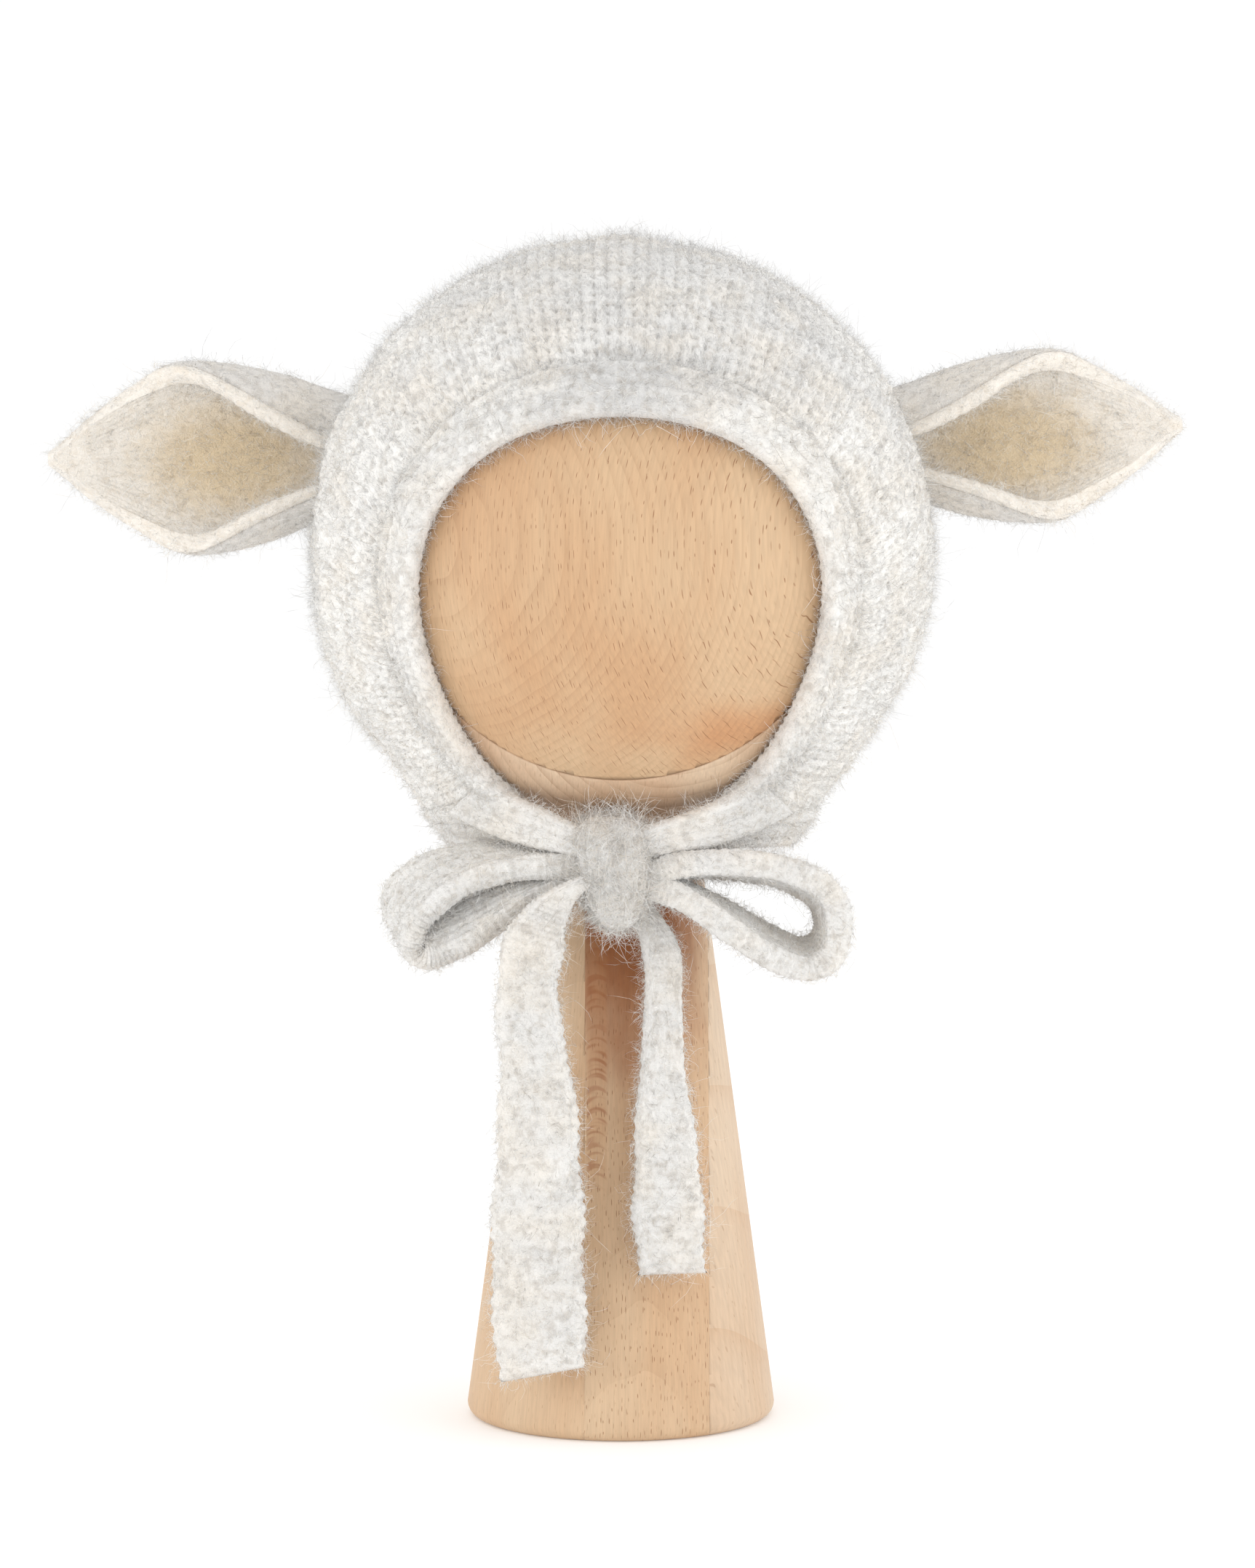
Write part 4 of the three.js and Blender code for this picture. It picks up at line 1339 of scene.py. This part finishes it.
    def sew(self, name: str, cloth: Cloth, body: str | None, bend: tuple[Point, Point] | None) -> None:
        """Makes one stretch of the tie with its fibres, on the bonnet where it has no body of its own."""
        piece = make_object(name + "_knit", cloth.mesh(), Knit("brushed_knit_" + name, grey_share=0.45).material())
        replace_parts(piece, name)
        declare(piece, cloth)
        pile = Pile(density=1.6, width=0.115, spread=0.8, halo=1.1, stray_density=0.12, stray_width=0.06,
                    painted_gap_shade=0.3)
        for part in [piece, *self.fluff.cover(name, cloth.frame, pile, crest=cloth.crest)]:
            if body is None:
                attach(part, "bonnet")
            else:
                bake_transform(part)
        LOG.info("%s: %d faces", name, len(piece.data.polygons))


# ---------------------------------------------------------------- ears


def through(points: Sequence[tuple[float, float]], s: Array) -> Array:
    """A smooth curve through pairs of place and value, as evenly stepped as they are given."""
    rail = [(0.0, a, b) for a, b in points]
    return rail_uniform(rail, s)


def rail_uniform(points: Rail, place: Array) -> Array:
    """The last coordinate of a uniform Catmull-Rom curve with held ends."""
    given = np.array(points, float)[:, 2]
    spans = len(given) - 1
    at = np.clip(place, 0, 1) * spans
    first = np.minimum(at.astype(int), spans - 1)
    w = at - first
    p = [given[np.clip(first + k, 0, spans)] for k in (-1, 0, 1, 2)]
    start, end = (p[2] - p[0]) / 2, (p[3] - p[1]) / 2
    rise = p[2] - p[1]
    return p[1] + start * w + (3 * rise - 2 * start - end) * w**2 + (start + end - 2 * rise) * w**3


@dataclass
class Ear:
    """A cupped leaf of two layers, sewn to the side of the hood. Sizes in millimetres, angles in radians."""

    name: str
    side: int
    height: float
    lift: float
    spread: float
    length: float
    fluff: Fluff
    root: float = 74.4
    depth: float = 0.42
    inward: float = 1.5

    HALF = ((0, 12.4), (0.17, 17), (0.33, 19.8), (0.5, 20.2), (0.67, 16.4), (0.83, 9.6), (1, 1.2))
    UPPER = ((0, 172), (0.25, 146), (0.5, 106), (0.75, 62), (1, 34))
    LOWER = ((0, 150), (0.25, 132), (0.5, 92), (0.75, 58), (1, 34))

    def middle(self, s: Array, t: Array) -> Array:
        """The ear's middle surface: s from inside the hood to the tip, t round the cup."""
        k = s
        upper, lower = through(self.UPPER, k), through(self.LOWER, k)
        turn = np.radians(np.where(t < 0.5, lower, upper) * (2 * t - 1))
        widest = np.maximum(upper, lower)
        reach = np.where(widest < 90, np.sin(np.radians(np.minimum(widest, 90))), 1)
        radius = through(self.HALF, k) / reach
        z = self.spread * radius * np.sin(turn)
        back = 6 + 3 * np.sin(math.pi * k) - 6 * k
        y = -self.depth * radius * (1 - np.cos(turn)) + back
        c, n = math.cos(self.lift), math.sin(self.lift)
        level = self.height + z * c - BALL_MIDDLE
        hood = np.sqrt(np.maximum(HOOD_OUTSIDE**2 - level**2 - y**2, 1)) - self.root - self.inward
        x = self.length * k * c - z * n * np.minimum(1, 3 * k) + hood * (1 - k) ** 5
        return np.stack([self.side * (x + self.root), y, self.length * k * n + z * c + self.height], axis=1)

    def build(self) -> None:
        """Makes the outer layer, the lining and the seam."""
        body = "ear_" + self.name
        sign = -self.side

        def lining_shares(points: Array) -> Array:
            """Cream at the rim and the tip, tan down in the cup, where the tan fibres are partly real and mostly
            painted shade.
            """
            away = np.abs(points[:, 0]) - 74.4
            # painted shade down in the cup, drawn with tan and beige fibres
            deep = smooth(points[:, 1], -3.5, 3.5) * smooth(away, 44, 20)
            odds = np.array((0.66, 0.0, 0.34, 0.0, 0.0))[None, :] * np.ones((len(points), 1))
            odds[:, 4] += 1.3 * deep
            odds[:, 2] += 0.5 * deep
            return odds

        def tucked(s: Array, t: Array) -> Array:
            """The outer layer's middle, which stops short of the rim."""
            return self.middle(0.965 * s, 0.5 + 0.92 * (t - 0.5))

        layers = {
            "shell": (Knit("brushed_knit_ear_back_" + self.name, light="EDE9E3", grey="CFCBC7", warm="E2D9CC"),
                      Pile(density=1.6, halo=0.5, stray_density=0.05, shares=(0.36, 0.36, 0.26, 0.02, 0)),
                      (2.6, 0.1), "ear_knit"),
            "lining": (CreamLining("cream_knit_ear_lining_" + self.name, side=self.side, height=self.height),
                       Pile(density=1.7, spread=0.8, halo=1.5, stray_density=0.05, shares=lining_shares,
                            painted_gap_shade=0.0),
                       (-0.1, -2.3), "ear_lining_knit"),
        }
        for layer, (finish, pile, offsets, slot) in layers.items():
            low, high = sorted(sign * offset for offset in offsets)
            lining = layer == "lining"
            cloth = Cloth(self.middle if lining else tucked, 2 * high, columns=20, rows=27, across=80,
                          along=108, edge=6, margin=0.025, relief=0.35 if lining else 0.6, low=low,
                          end_round=(0.03, 0.04), scallop=0.004,
                          rim=2.2 * sign if lining else 0.0, bare=sign if lining else -sign)
            name = f"{body}_{layer}"
            piece = make_object(name + "_knit", cloth.mesh(), finish.material())
            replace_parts(piece, name)
            declare(piece, cloth)
            for part in [piece, *self.fluff.cover(name, cloth.frame, pile, crest=cloth.crest)]:
                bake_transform(part)
            LOG.info("%s: %d faces", name, len(piece.data.polygons))
        self.build_seam(body)

    def build_seam(self, body: str) -> None:
        """The yarn that sews the ear to the hood: small oversewn stitches along its root."""
        rail = []
        for z in (-10, -6, -2, 2, 6, 10):
            reach = math.sqrt(HOOD_OUTSIDE**2 - (self.height + z - BALL_MIDDLE) ** 2) + 0.9
            rail.append((self.side * reach, 5, self.height + z))
        place = np.linspace(0, 1, 40)
        path = rail_point(rail, place) * MM
        bm = bmesh.new()
        made = bmesh.ops.create_circle(bm, segments=10, radius=0.8 * MM, cap_ends=True)
        bmesh.ops.translate(bm, verts=made["verts"], vec=path[0].tolist())
        for here, there in zip(path, path[1:]):
            face = bm.faces[:][-1] if len(bm.faces) == 1 else top
            grown = bmesh.ops.extrude_face_region(bm, geom=[face])
            top = next(g for g in grown["geom"] if isinstance(g, bmesh.types.BMFace))
            moved = [g for g in grown["geom"] if isinstance(g, bmesh.types.BMVert)]
            bmesh.ops.translate(bm, verts=moved, vec=(there - here).tolist())
            if len(bm.faces) > 1 and face.is_valid and here is not path[0]:
                bmesh.ops.delete(bm, geom=[face], context="FACES_ONLY")
        for vertex in bm.verts:
            swell = 1 + 0.3 * math.sin(vertex.co.z / MM * FULL_TURN / 3)
            level = vertex.co.z / MM - BALL_MIDDLE
            axis_x = self.side * (math.sqrt(HOOD_OUTSIDE**2 - level**2) + 0.9) * MM
            vertex.co.x = axis_x + (vertex.co.x - axis_x) * swell
        bmesh.ops.recalc_face_normals(bm, faces=bm.faces[:])
        seam = make_object(body + "_seam_yarn", bm, Knit("brushed_knit_seam_" + self.name).material())
        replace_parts(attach(seam, "bonnet"), body + "_seam")


# ---------------------------------------------------------------- studio


@dataclass
class Studio:
    """A pale floor, soft light all round, two broad lamps and the camera."""

    eye: Point = (0.0016, -0.900, 0.184)
    aim: Point = (0.0016, 0.0, 0.1519)
    lens: float = 85.93

    def build(self) -> None:
        """Sets up the floor, the light and the camera."""
        scene = bpy.context.scene
        scene.view_settings.view_transform = "Standard"
        bm = bmesh.new()
        bmesh.ops.create_circle(bm, cap_ends=True, segments=64, radius=6.0)
        recipe = Recipe("white_paper_floor")
        floor = make_object("floor", bm, recipe.surface(Base_Color=linear("F7F7F7"), Roughness=0.9, IOR=1.5,
                                                        Specular_IOR_Level=0.1, Emission_Strength=0.14,
                                                        Emission_Color=(1, 1, 1, 1)))
        world = bpy.data.worlds.new("soft_box_room")
        world.use_nodes = True
        backing = world.node_tree.nodes["Background"]
        backing.inputs["Color"].default_value = (1, 1, 1, 1)
        backing.inputs["Strength"].default_value = 1.02
        scene.world = world
        self.lamp("key_lamp", (-0.5, -1.3, 1.1), 1.2, 1.4)
        self.lamp("left_lamp", (-1.2, -0.6, 0.2), 1.0, 5.0)
        self.lamp("right_lamp", (1.2, -0.6, 0.2), 1.0, 6.0)
        data = bpy.data.cameras.new("camera")
        data.lens, data.sensor_width = self.lens, 36.0
        camera = bpy.data.objects.new("camera", data)
        camera.location = self.eye
        way = Vector(self.aim) - Vector(self.eye)
        camera.rotation_euler = way.to_track_quat("-Z", "Y").to_euler()
        scene.collection.objects.link(camera)
        scene.camera = camera

    @staticmethod
    def lamp(name: str, place: Point, size: float, power: float) -> None:
        """Adds a square soft box that faces the object."""
        data = bpy.data.lights.new(name, "AREA")
        data.size, data.energy = size, power
        obj = bpy.data.objects.new(name, data)
        obj.location = place
        obj.rotation_euler = (Vector((0, 0, 0.15)) - Vector(place)).to_track_quat("-Z", "Y").to_euler()
        bpy.context.scene.collection.objects.link(obj)


def main() -> None:
    """Builds the stand, the bonnet and the studio, and notes the number of faces."""
    logging.basicConfig(level=logging.INFO, format="%(message)s")
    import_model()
    Studio().build()
    Stand().build()
    fluff = Fluff(seed=7)
    head = Head()
    Hood(head, fluff).build()
    Bow(fluff).build()
    Ear("left", -1, 230.0, 0.0, 1.0, 63.0, fluff).build()
    Ear("right", 1, 233.0, math.radians(5), 0.88, 60.5, fluff).build()
    dowel = Beech("beech_dowel")
    node = bpy.data.objects.get("neck_dowel")
    if node is not None:
        node.material_slots[0].material = dowel.material()
    total = sum(len(o.data.polygons) for o in bpy.data.objects if o.type == "MESH" and not o.hide_render)
    LOG.info("faces in all: %d", total)


if __name__ == "__main__":
    main()
